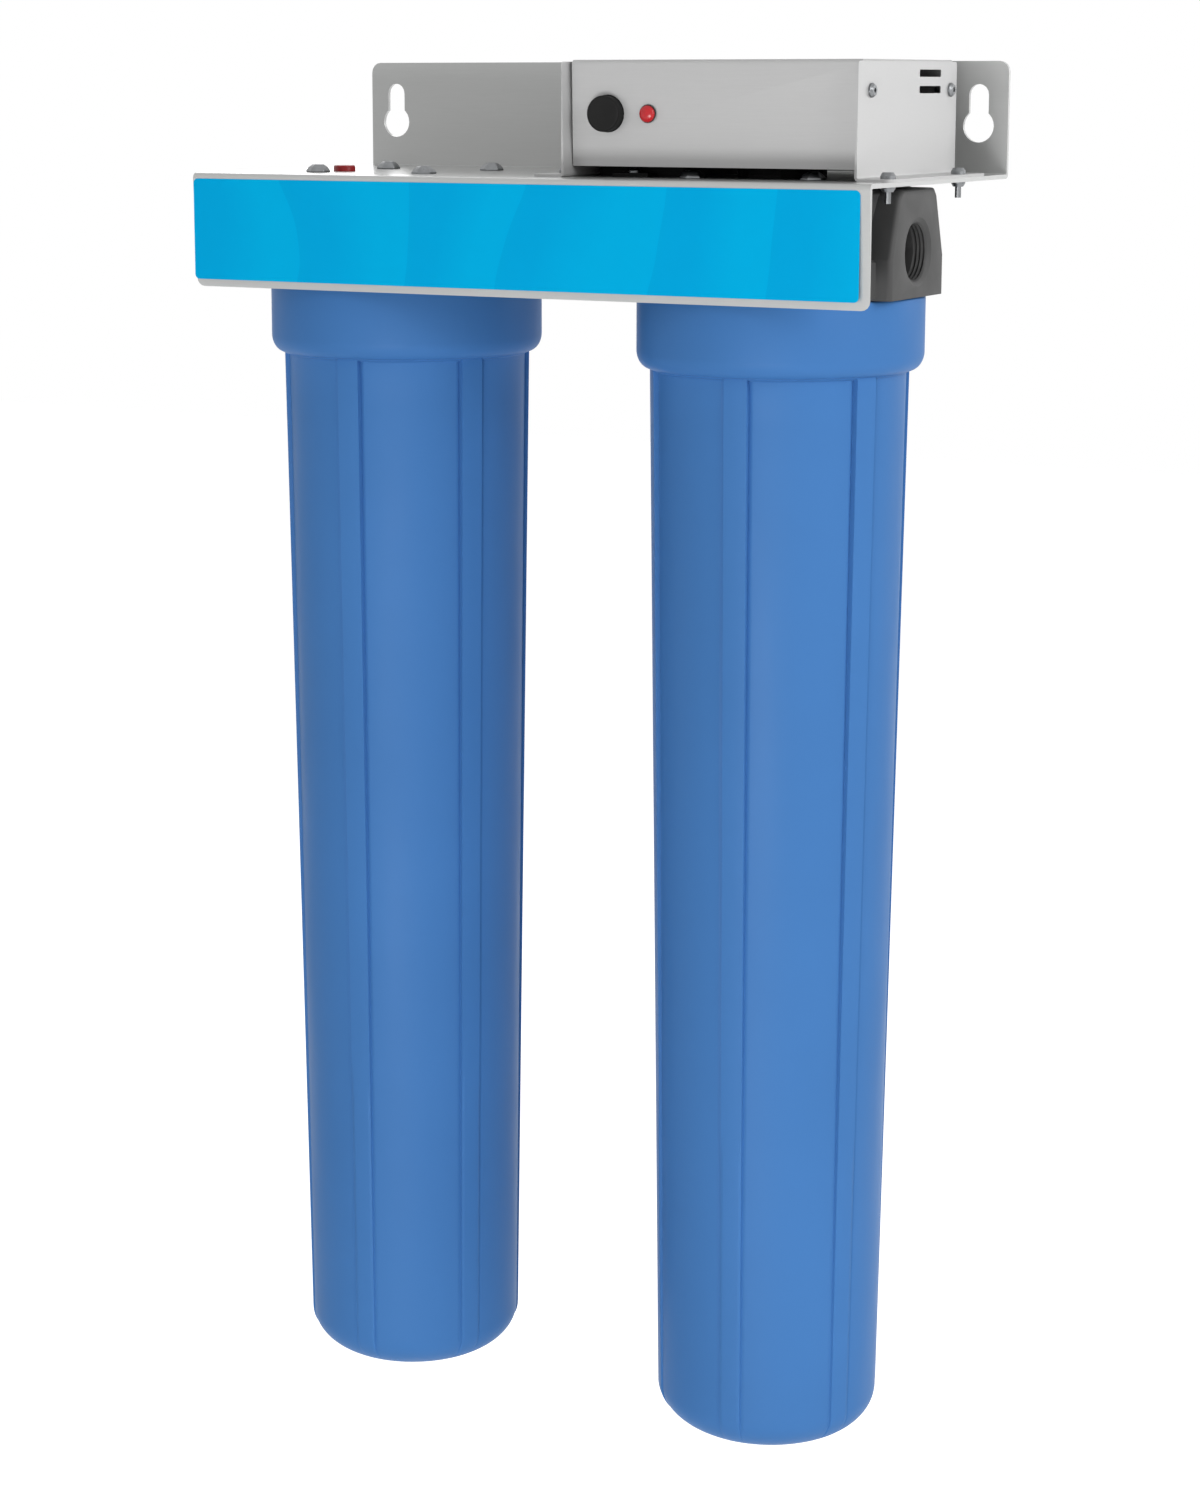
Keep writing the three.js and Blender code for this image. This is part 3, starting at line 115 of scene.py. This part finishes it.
def strength_where_seen(tree, lit, seen):
    """A strength that is seen for camera, glossy and transmission rays, and lit for all others."""
    path = tree.nodes.new("ShaderNodeLightPath")
    total = path.outputs["Is Camera Ray"]
    for ray in ("Is Glossy Ray", "Is Transmission Ray"):
        either = tree.nodes.new("ShaderNodeMath")
        either.operation = "MAXIMUM"
        tree.links.new(total, either.inputs[0])
        tree.links.new(path.outputs[ray], either.inputs[1])
        total = either.outputs[0]
    strength = tree.nodes.new("ShaderNodeMapRange")
    strength.inputs["To Min"].default_value = lit
    strength.inputs["To Max"].default_value = seen
    tree.links.new(total, strength.inputs["Value"])
    return strength.outputs["Result"]


def add_world():
    world = bpy.data.worlds.new("room")
    world.use_nodes = True
    background = world.node_tree.nodes["Background"]
    background.inputs["Color"].default_value = WHITE
    strength = strength_where_seen(world.node_tree, ROOM_LIGHT, 1.0)
    world.node_tree.links.new(strength, background.inputs["Strength"])
    bpy.context.scene.world = world


FLOOR_LEVEL = -0.95
FLOOR_SPAN = 12.0
FLOOR_GLOW = 0.68
FLOOR_COLOR = (0.86, 0.86, 0.86, 1)
FLOOR_ROUGHNESS = 0.9


def add_floor():
    mesh = bpy.data.meshes.new("floor")
    half = FLOOR_SPAN / 2
    corners = [(x, y, FLOOR_LEVEL)
               for x, y in ((-half, -half), (half, -half), (half, half), (-half, half))]
    mesh.from_pydata(corners, [], [(0, 1, 2, 3)])
    floor = bpy.data.objects.new("floor", mesh)
    bpy.context.scene.collection.objects.link(floor)
    paint = bpy.data.materials.new("floor_paint")
    paint.use_nodes = True
    shader = paint.node_tree.nodes["Principled BSDF"]
    shader.inputs["Base Color"].default_value = FLOOR_COLOR
    shader.inputs["Roughness"].default_value = FLOOR_ROUGHNESS
    shader.inputs["Emission Color"].default_value = WHITE
    glow = strength_where_seen(paint.node_tree, 0.0, FLOOR_GLOW)
    paint.node_tree.links.new(glow, shader.inputs["Emission Strength"])
    mesh.materials.append(paint)


def add_stage():
    add_camera()
    add_world()
    add_floor()
    for name, lamp in LAMPS.items():
        add_area_light(name, **lamp)
    bpy.context.scene.view_settings.view_transform = "Standard"


# Materials

# Nearly all of a noise texture's values lie between these.
NOISE_LOW = 0.3
NOISE_HIGH = 0.7


def srgb(red, green, blue):
    def linear(value):
        share = value / 255
        return share / 12.92 if share <= 0.04045 else ((share + 0.055) / 1.055) ** 2.4
    return (linear(red), linear(green), linear(blue), 1)


class Paint:
    """A material under construction: the shader, and short ways to add nodes to it."""

    def __init__(self, name, color, roughness, metallic=0.0, **sockets):
        self.material = bpy.data.materials.new(name)
        self.material.use_nodes = True
        self.nodes = self.material.node_tree.nodes
        self.links = self.material.node_tree.links
        self.shader = self.nodes["Principled BSDF"]
        self.shader.inputs["Base Color"].default_value = color
        self.shader.inputs["Roughness"].default_value = roughness
        self.shader.inputs["Metallic"].default_value = metallic
        for socket, value in sockets.items():
            self.shader.inputs[socket.replace("_", " ")].default_value = value
        self.place = self.nodes.new("ShaderNodeTexCoord").outputs["Object"]
        self.height = None

    def stretched(self, scale):
        mapping = self.nodes.new("ShaderNodeMapping")
        mapping.inputs["Scale"].default_value = scale
        self.links.new(self.place, mapping.inputs["Vector"])
        return mapping.outputs["Vector"]

    def noise(self, scale, detail, stretch=(1, 1, 1)):
        node = self.nodes.new("ShaderNodeTexNoise")
        node.inputs["Scale"].default_value = scale
        node.inputs["Detail"].default_value = detail
        self.links.new(self.stretched(stretch), node.inputs["Vector"])
        return node.outputs["Fac"]

    def spread(self, value, low, high):
        """A number that runs from low to high as value goes from NOISE_LOW to NOISE_HIGH."""
        node = self.nodes.new("ShaderNodeMapRange")
        node.inputs["From Min"].default_value = NOISE_LOW
        node.inputs["From Max"].default_value = NOISE_HIGH
        node.inputs["To Min"].default_value = low
        node.inputs["To Max"].default_value = high
        self.links.new(value, node.inputs["Value"])
        return node.outputs["Result"]

    def tint(self, value, dark, light):
        """Colour that runs from dark to light as value goes from NOISE_LOW to NOISE_HIGH."""
        ramp = self.nodes.new("ShaderNodeValToRGB")
        first, last = ramp.color_ramp.elements
        first.position, first.color = NOISE_LOW, dark
        last.position, last.color = NOISE_HIGH, light
        self.links.new(value, ramp.inputs["Fac"])
        self.links.new(ramp.outputs["Color"], self.shader.inputs["Base Color"])

    def gloss(self, value, low, high):
        self.links.new(self.spread(value, low, high), self.shader.inputs["Roughness"])

    def bump(self, value, distance):
        """Relief of that depth in metres, on top of any relief added before."""
        node = self.nodes.new("ShaderNodeBump")
        node.inputs["Distance"].default_value = distance
        node.inputs["Strength"].default_value = 1.0
        self.links.new(value, node.inputs["Height"])
        if self.height is not None:
            self.links.new(self.height, node.inputs["Normal"])
        self.height = node.outputs["Normal"]
        self.links.new(self.height, self.shader.inputs["Normal"])


def shade(color, share):
    return tuple(min(1.0, channel * share) for channel in color[:3]) + (1,)


def moulded_plastic(name, color, roughness, shine=0.4):
    """Plastic from a mould: faint cloudiness, a fine grain and slightly uneven gloss."""
    paint = Paint(name, color, roughness, Specular_IOR_Level=shine)
    cloud = paint.noise(scale=14, detail=4)
    paint.tint(cloud, shade(color, 0.95), shade(color, 1.05))
    paint.gloss(paint.noise(scale=60, detail=3), roughness - 0.04, roughness + 0.05)
    paint.bump(paint.noise(scale=900, detail=2), 0.02 * MM)
    return paint.material


def sheet_steel(name, color, roughness, depth=0.002 * MM, lacquer=0.0):
    """Rolled sheet: long fine grain in colour, gloss and surface, over faint clouds."""
    paint = Paint(name, color, roughness, metallic=0.3, Coat_Weight=lacquer, Coat_Roughness=0.2)
    lines = paint.noise(scale=60, detail=4, stretch=(1, 30, 30))
    paint.tint(lines, shade(color, 0.985), shade(color, 1.015))
    paint.gloss(paint.noise(scale=9, detail=4), roughness - 0.04, roughness + 0.04)
    paint.bump(lines, depth)
    return paint.material


def plated_steel(name, color, roughness):
    """Bright plating with small cloudy patches."""
    paint = Paint(name, color, roughness, metallic=1.0)
    patches = paint.noise(scale=260, detail=4)
    paint.tint(patches, shade(color, 0.82), shade(color, 1.12))
    paint.gloss(paint.noise(scale=500, detail=3), roughness - 0.08, roughness + 0.1)
    paint.bump(patches, 0.02 * MM)
    return paint.material


def rubber(name):
    """Black rubber with a fine speckle."""
    paint = Paint(name, srgb(24, 24, 25), 0.75)
    speckle = paint.noise(scale=700, detail=3)
    paint.tint(speckle, srgb(19, 19, 20), srgb(32, 32, 33))
    paint.bump(speckle, 0.03 * MM)
    return paint.material


def sump_plastic(name, color, roughness):
    """Drawn blue plastic: faint streaks along the draw, cloudy colour and a fine skin."""
    paint = Paint(name, color, roughness, Specular_IOR_Level=0.06)
    streaks = paint.noise(scale=110, detail=3, stretch=(1, 1, 0.06))
    paint.tint(paint.noise(scale=9, detail=4), shade(color, 0.97), shade(color, 1.03))
    patches = paint.noise(scale=45, detail=3, stretch=(1, 1, 0.3))
    paint.gloss(patches, roughness - 0.05, roughness + 0.06)
    paint.bump(streaks, 0.015 * MM)
    paint.bump(paint.noise(scale=1100, detail=2), 0.012 * MM)
    return paint.material


def printed_film(name, base, light):
    """Cyan film with overlapping wave bands printed tone on tone."""
    paint = Paint(name, base, 0.35, Specular_IOR_Level=0.04)
    bands = paint.nodes.new("ShaderNodeTexWave")
    bands.wave_type = "BANDS"
    bands.bands_direction = "X"
    bands.wave_profile = "SAW"
    bands.inputs["Scale"].default_value = 5.0
    bands.inputs["Distortion"].default_value = 2.6
    bands.inputs["Detail"].default_value = 0.0
    bands.inputs["Detail Scale"].default_value = 2.0
    paint.links.new(paint.stretched((1, 1, 1.5)), bands.inputs["Vector"])
    paint.tint(bands.outputs["Fac"], base, light)
    paint.gloss(paint.noise(scale=30, detail=3), 0.31, 0.39)
    paint.bump(paint.noise(scale=22, detail=2), 0.01 * MM)
    return paint.material


def wound_felt(name, color):
    """Yarn wound round a core: fine slanting ridges, with painted shade in the grooves between them.
    """
    paint = Paint(name, color, 0.9)
    yarn = paint.nodes.new("ShaderNodeTexWave")
    yarn.wave_type = "BANDS"
    yarn.bands_direction = "Z"
    yarn.inputs["Scale"].default_value = 90.0
    yarn.inputs["Distortion"].default_value = 1.2
    paint.links.new(paint.place, yarn.inputs["Vector"])
    # painted shade: the grooves between the ridges are darker than the ridge tops
    paint.tint(yarn.outputs["Fac"], shade(color, 0.8), color)
    paint.bump(yarn.outputs["Fac"], 0.4 * MM)
    return paint.material


def clear_glass(name, color, roughness):
    """Drawn glass, very slightly uneven."""
    paint = Paint(name, color, roughness, Transmission_Weight=0.92, IOR=1.46)
    paint.bump(paint.noise(scale=40, detail=2), 0.01 * MM)
    return paint.material


MATERIALS = {
    "bracket_steel": sheet_steel(
        "bracket_steel", srgb(184, 185, 184), 0.36, depth=0.0005 * MM, lacquer=0.9),
    "box_steel": sheet_steel("box_steel", srgb(186, 186, 186), 0.4),
    "screw_steel": plated_steel("screw_steel", srgb(132, 134, 136), 0.35),
    "label_film": printed_film("label_film", srgb(0, 164, 219), srgb(0, 172, 224)),
    "head_plastic": moulded_plastic("head_plastic", srgb(57, 57, 57), 0.55),
    "sump_plastic": sump_plastic("sump_plastic", srgb(67, 117, 177), 0.42),
    "black_plastic": moulded_plastic("black_plastic", srgb(17, 17, 17), 0.6, shine=0.2),
    "grey_plastic": moulded_plastic("grey_plastic", srgb(74, 74, 74), 0.55),
    "red_plastic": moulded_plastic("red_plastic", srgb(160, 20, 26), 0.35),
    "lens_plastic": moulded_plastic("lens_plastic", srgb(190, 18, 28), 0.2, shine=0.5),
    "seal_rubber": rubber("seal_rubber"),
    "filter_felt": wound_felt("filter_felt", srgb(232, 229, 218)),
    "stainless": sheet_steel("stainless", srgb(198, 200, 201), 0.3),
    "quartz": clear_glass("quartz", srgb(236, 242, 244), 0.04),
    "lamp_glass": clear_glass("lamp_glass", srgb(232, 236, 238), 0.12),
    "board_laminate": moulded_plastic("board_laminate", srgb(30, 104, 58), 0.45),
}


RECORD = frame["record"]
SLOTS = {part["node"]: part["material_slot"] for part in RECORD["subparts"]}
BODY_OF = {node: body for body, nodes in RECORD["behaviour"]["bodies"].items() for node in nodes}


def dress(piece, node):
    """Gives a piece that stands for a node the material of that node's slot, and that node's body."""
    piece.data.materials.clear()
    piece.data.materials.append(MATERIALS[SLOTS[node]])
    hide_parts(node)
    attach(piece, BODY_OF[node])


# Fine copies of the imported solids; angles are degrees

WELD = 0.002 * MM
FLAT_ANGLE = 0.6
SHARP_ANGLE = 32
EDGE_STEPS = 2


def smooth_mesh(data, sharp=SHARP_ANGLE):
    data.shade_smooth()
    data.set_sharp_from_angle(angle=math.radians(sharp))


def refined(node, edge):
    """A copy of a node in its place, with its flat faces whole again and its edges rounded."""
    mesh = bmesh.new()
    mesh.from_mesh(NODES[node].data)
    bmesh.ops.remove_doubles(mesh, verts=mesh.verts, dist=WELD)
    bmesh.ops.dissolve_limit(
        mesh, angle_limit=math.radians(FLAT_ANGLE), verts=mesh.verts, edges=mesh.edges)
    data = bpy.data.meshes.new(node + "_fine")
    mesh.to_mesh(data)
    mesh.free()
    smooth_mesh(data)
    piece = bpy.data.objects.new(node + "_fine", data)
    bpy.context.scene.collection.objects.link(piece)
    bevel = piece.modifiers.new("edges", "BEVEL")
    bevel.limit_method = "ANGLE"
    bevel.angle_limit = math.radians(SHARP_ANGLE)
    bevel.width = edge
    bevel.segments = EDGE_STEPS
    bevel.harden_normals = True
    dress(piece, node)
    return piece


# Turned and ribbed forms

def middle(node):
    low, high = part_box(node)
    return (low + high) / 2


def tube_of_rings(name, rings, sharp=SHARP_ANGLE):
    """A closed skin over rings of points; the first and last ring are single points on the axis."""
    mesh = bmesh.new()
    rows = [[mesh.verts.new(point) for point in ring] for ring in rings]
    for lower, upper in zip(rows, rows[1:]):
        count = max(len(lower), len(upper))
        for i in range(count):
            j = (i + 1) % count
            if len(lower) == 1:
                mesh.faces.new((lower[0], upper[j], upper[i]))
            elif len(upper) == 1:
                mesh.faces.new((lower[i], lower[j], upper[0]))
            else:
                mesh.faces.new((lower[i], lower[j], upper[j], upper[i]))
    bmesh.ops.recalc_face_normals(mesh, faces=mesh.faces)
    data = bpy.data.meshes.new(name)
    mesh.to_mesh(data)
    mesh.free()
    smooth_mesh(data, sharp)
    piece = bpy.data.objects.new(name, data)
    bpy.context.scene.collection.objects.link(piece)
    return piece


def quarter(steps):
    """Angles from 0 to a quarter turn, in equal steps."""
    return [math.pi / 2 * i / steps for i in range(steps + 1)]


# Sumps: the plate's upper face in metres, then sizes and depths under that face in millimetres

PLATE_THICKNESS = 2 * MM
PLATE_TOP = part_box("foot_nut_left_front")[1].z + PLATE_THICKNESS
COLLAR_RADIUS = 65.0
COLLAR_STRAIGHT = 25.2
COLLAR_ROUND = 8.2
RIM_DEPTH = 51.8
RIM_EDGE = 1.2
BODY_TOP_RADIUS = 58.9
BODY_LOW_RADIUS = 52.3
BODY_TOP_DEPTH = RIM_DEPTH + COLLAR_STRAIGHT + COLLAR_ROUND
BODY_LOW_DEPTH = 571.0
SHOULDER_WIDTH = 27.3
SHOULDER_HEIGHT = 19.8
FOOT_RADIUS = 26.0
FOOT_HEIGHT = 2.6
FOOT_EDGE = 1.3
FOOT_RING_SHARE = 0.5
SHOULDER_TO_FOOT = 0.6
RIBS = 6
RIB_WIDTH = 10.8
RIB_HEIGHT = 1.9
RIB_FLANK = 0.5
RIB_GROOVE_SINK = 1.0
RIB_GROOVE_REACH = 2.4
RIB_AZIMUTHS = {"left": 3.0, "right": 5.5}
PANEL_TOP = 0.2
PANEL_START = 1.2
RECESS_AT_FOOT_SHARE = 0.3
BORE_RADIUS = 58.4
BORE_DEPTH = 79.8
SEAL_GROOVE_INNER = 60.25
SEAL_GROOVE_OUTER = 63.75
SEAL_GROOVE_DEPTH = 55.0
WELL_DEPTH = 85.8
WELL_TOP_RADIUS = 53.4
WELL_LOW_RADIUS = 46.8
WELL_FLOOR = 586.3
POST_RADIUS = 11.0
POST_TOP = 567.8
SUMP_SHARP_ANGLE = 50
RIB_TOP_STEPS = 3
FLANK_STEPS = 7
RIB_GROOVE_STEPS = 7
PANEL_STEPS = 14
BODY_STEPS = 24
PANEL_START_STEPS = 8
FOOT_EDGE_STEPS = 4
SHOULDER_STEPS = 20
COLLAR_STEPS = 12
RIM_EDGE_STEPS = 3
WELL_STEPS = 6


def clamped(value):
    return min(1.0, max(0.0, value))


def soft_step(value):
    value = clamped(value)
    return value * value * (3 - 2 * value)


def down_body(depth):
    """0 at the top of the ribbed body and 1 at its low end."""
    return (depth - BODY_TOP_DEPTH) / (BODY_LOW_DEPTH - BODY_TOP_DEPTH)


def body_radius(depth):
    return BODY_TOP_RADIUS + (BODY_LOW_RADIUS - BODY_TOP_RADIUS) * down_body(depth)


def sink_beside_rib(distance):
    """Share of the panels' depth at a distance from a rib's side; over 1 in the groove there."""
    nearness = 1 - clamped((distance - RIB_FLANK) / RIB_GROOVE_REACH)
    groove = RIB_GROOVE_SINK / RIB_HEIGHT * nearness * nearness
    return soft_step(distance / RIB_FLANK) * (1 + groove)


def rib_columns(azimuth):
    """Angles round the sump, each with its share of the panels' depth: 0 on a rib's top."""
    half = RIB_WIDTH / 2
    foot = half + RIB_FLANK
    edge = foot + RIB_GROOVE_REACH
    sector = 2 * math.pi * BODY_TOP_RADIUS / RIBS
    top = [half * i / RIB_TOP_STEPS for i in range(-RIB_TOP_STEPS, RIB_TOP_STEPS + 1)]
    rise = [half + RIB_FLANK * i / FLANK_STEPS for i in range(1, FLANK_STEPS + 1)]
    rise += [foot + RIB_GROOVE_REACH * i / RIB_GROOVE_STEPS for i in range(1, RIB_GROOVE_STEPS + 1)]
    panel = [edge + (sector - 2 * edge) * i / PANEL_STEPS for i in range(1, PANEL_STEPS)]
    fall = [sector - reach for reach in reversed(rise)]
    columns = []
    for rib in range(RIBS):
        start = math.radians(azimuth - 90 + rib * 360 / RIBS)
        for reach in top + rise + panel + fall:
            near = min(abs(reach), abs(sector - reach))
            columns.append((start + reach / BODY_TOP_RADIUS, sink_beside_rib(near - half)))
    return columns


def recess_at(depth):
    """Depth of the panels: deepest under the collar, less further down, none on the shoulder."""
    start = soft_step((depth - BODY_TOP_DEPTH - PANEL_TOP) / PANEL_START)
    fade = 1 - (1 - RECESS_AT_FOOT_SHARE) * clamped(down_body(depth))
    end = 1 - soft_step((depth - BODY_LOW_DEPTH) / SHOULDER_HEIGHT)
    return RIB_HEIGHT * start * fade * end


def sump_rows():
    """Outside from the foot up, over the rim and down the inside, as (radius, depth) pairs."""
    base = BODY_LOW_DEPTH + SHOULDER_HEIGHT
    foot = base + FOOT_HEIGHT
    rows = [(0, foot), (FOOT_RADIUS * FOOT_RING_SHARE, foot), (FOOT_RADIUS - FOOT_EDGE, foot)]
    rows += [(FOOT_RADIUS - FOOT_EDGE * (1 - math.sin(turn)),
              foot - FOOT_EDGE * (1 - math.cos(turn))) for turn in quarter(FOOT_EDGE_STEPS)[1:]]
    for turn in reversed(quarter(SHOULDER_STEPS)):
        radius = BODY_LOW_RADIUS - SHOULDER_WIDTH * (1 - math.cos(turn))
        if radius > FOOT_RADIUS + SHOULDER_TO_FOOT:
            rows.append((radius, BODY_LOW_DEPTH + SHOULDER_HEIGHT * math.sin(turn)))
    panel_end = BODY_TOP_DEPTH + PANEL_TOP + PANEL_START
    depths = [BODY_LOW_DEPTH + (panel_end - BODY_LOW_DEPTH) * i / BODY_STEPS
              for i in range(1, BODY_STEPS + 1)]
    depths += [panel_end - PANEL_START * i / PANEL_START_STEPS
               for i in range(1, PANEL_START_STEPS + 1)]
    rows += [(body_radius(depth), depth) for depth in depths]
    rows.append((BODY_TOP_RADIUS, BODY_TOP_DEPTH))
    overhang = COLLAR_RADIUS - BODY_TOP_RADIUS
    rows += [(COLLAR_RADIUS - overhang * (1 - math.cos(turn)),
              RIM_DEPTH + COLLAR_STRAIGHT + COLLAR_ROUND * math.sin(turn))
             for turn in reversed(quarter(COLLAR_STEPS)[:-1])]
    rows.append((COLLAR_RADIUS, RIM_DEPTH + RIM_EDGE))
    rows += [(COLLAR_RADIUS - RIM_EDGE * (1 - math.cos(turn)),
              RIM_DEPTH + RIM_EDGE * (1 - math.sin(turn))) for turn in quarter(RIM_EDGE_STEPS)[1:]]
    rows += [(SEAL_GROOVE_OUTER, RIM_DEPTH), (SEAL_GROOVE_OUTER, SEAL_GROOVE_DEPTH),
             (SEAL_GROOVE_INNER, SEAL_GROOVE_DEPTH), (SEAL_GROOVE_INNER, RIM_DEPTH),
             (BORE_RADIUS, RIM_DEPTH), (BORE_RADIUS, BORE_DEPTH),
             (WELL_TOP_RADIUS, WELL_DEPTH), (WELL_LOW_RADIUS, BODY_LOW_DEPTH)]
    drop = WELL_FLOOR - BODY_LOW_DEPTH
    rows += [(WELL_LOW_RADIUS - (WELL_LOW_RADIUS - FOOT_RADIUS) * (1 - math.cos(turn)),
              BODY_LOW_DEPTH + drop * math.sin(turn)) for turn in quarter(WELL_STEPS)[1:]]
    rows += [(POST_RADIUS, WELL_FLOOR), (POST_RADIUS, POST_TOP), (0, POST_TOP)]
    return rows


def sump(side):
    axis = middle("sump_seal_" + side)
    columns = rib_columns(RIB_AZIMUTHS[side])
    rings = []
    outside = True
    for radius, depth in sump_rows():
        if radius == SEAL_GROOVE_OUTER:
            outside = False
        recess = recess_at(depth) if outside else 0
        height = PLATE_TOP - depth * MM
        if radius == 0:
            rings.append([(axis.x, axis.y, height)])
            continue
        rings.append([
            (axis.x + (radius - recess * share) * MM * math.cos(turn),
             axis.y + (radius - recess * share) * MM * math.sin(turn), height)
            for turn, share in columns])
    node = "sump_" + side
    dress(tube_of_rings(node + "_fine", rings, SUMP_SHARP_ANGLE), node)


# Button and lens: turned about the line through the panel

TURNED_SIDES = 72
BUTTON_RADIUS = 8.0 * MM
BUTTON_EDGE = 0.9 * MM
BUTTON_DISH = 0.25 * MM
BUTTON_DISH_SHARES = (0.3, 0.6, 0.85, 1)
BUTTON_EDGE_STEPS = 6
BUTTON_FLANGE = 9.2 * MM
BUTTON_FLANGE_THICKNESS = 1.3 * MM
BUTTON_STEM = 3 * MM
COVER_THICKNESS = 1.5 * MM
LENS_RADIUS = 3.7 * MM
LENS_STEM = 2.7 * MM
LENS_SINK = 0.3 * MM
LENS_STEPS = 10


def turned_forward(node, profile):
    """profile holds (radius, y) pairs in metres; the form is turned about the node's own Y line."""
    axis = middle(node)
    rings = []
    for radius, y in profile:
        if radius == 0:
            rings.append([(axis.x, y, axis.z)])
            continue
        rings.append([
            (axis.x + radius * math.cos(turn), y, axis.z + radius * math.sin(turn))
            for turn in (2 * math.pi * i / TURNED_SIDES for i in range(TURNED_SIDES))])
    dress(tube_of_rings(node + "_fine", rings), node)


def push_button():
    """A dished face with a rounded edge, and behind the panel a flange and a stem."""
    low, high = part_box("push_button")
    front, back = low.y, high.y
    flange_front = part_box("ballast_cover")[0].y + COVER_THICKNESS
    flange_back = flange_front + BUTTON_FLANGE_THICKNESS
    profile = [(0, front + BUTTON_DISH)]
    profile += [((BUTTON_RADIUS - BUTTON_EDGE) * share, front + BUTTON_DISH * (1 - share ** 2))
                for share in BUTTON_DISH_SHARES]
    profile += [(BUTTON_RADIUS - BUTTON_EDGE * (1 - math.sin(turn)),
                 front + BUTTON_EDGE * (1 - math.cos(turn)))
                for turn in quarter(BUTTON_EDGE_STEPS)[1:]]
    profile += [(BUTTON_RADIUS, flange_front), (BUTTON_FLANGE, flange_front),
                (BUTTON_FLANGE, flange_back), (BUTTON_STEM, flange_back),
                (BUTTON_STEM, back), (0, back)]
    turned_forward("push_button", profile)


def signal_lens():
    """A dome that stands out of the ring, on a stem."""
    low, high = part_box("signal_lamp_lens")
    ring_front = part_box("signal_lamp_ring")[0].y
    rise = ring_front - low.y
    profile = [(LENS_RADIUS * math.sin(turn),
                ring_front - LENS_SINK - (rise - LENS_SINK) * math.cos(turn))
               for turn in quarter(LENS_STEPS)]
    profile += [(LENS_RADIUS, ring_front), (LENS_STEM, ring_front),
                (LENS_STEM, high.y), (0, high.y)]
    turned_forward("signal_lamp_lens", profile)


# The other solids: the edge radius for each start of a name, in metres; the longest match wins

EDGES = {
    "": 0.2 * MM,
    "mounting_bracket": 0.25 * MM,
    "ballast_": 0.15 * MM,
    "ballast_cover": 0.45 * MM,
    "ballast_end": 0.3 * MM,
    "front_label": 0.03 * MM,
    "head_screw": 0.35 * MM,
    "foot_": 0.15 * MM,
    "gland_nut": 0.3 * MM,
    "control_board": 0.1 * MM,
    "relief_spring": 0.05 * MM,
    "chamber_liner": 0.1 * MM,
}
BUILT_BY_HAND = {"sump_left", "sump_right", "push_button", "signal_lamp_lens"}


def compress(spring):
    """The spring stands on its seat; its piece gets a mesh of its own, and it is not shortened."""
    low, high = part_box("relief_spring")
    foot = middle("relief_spring")
    foot.z = low.z
    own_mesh(spring)


def refine_others():
    for node in NODES:
        if node not in BUILT_BY_HAND:
            start = max((key for key in EDGES if node.startswith(key)), key=len)
            piece = refined(node, EDGES[start])
            if node == "relief_spring":
                compress(piece)


add_stage()
for side in RIB_AZIMUTHS:
    sump(side)
push_button()
signal_lens()
refine_others()
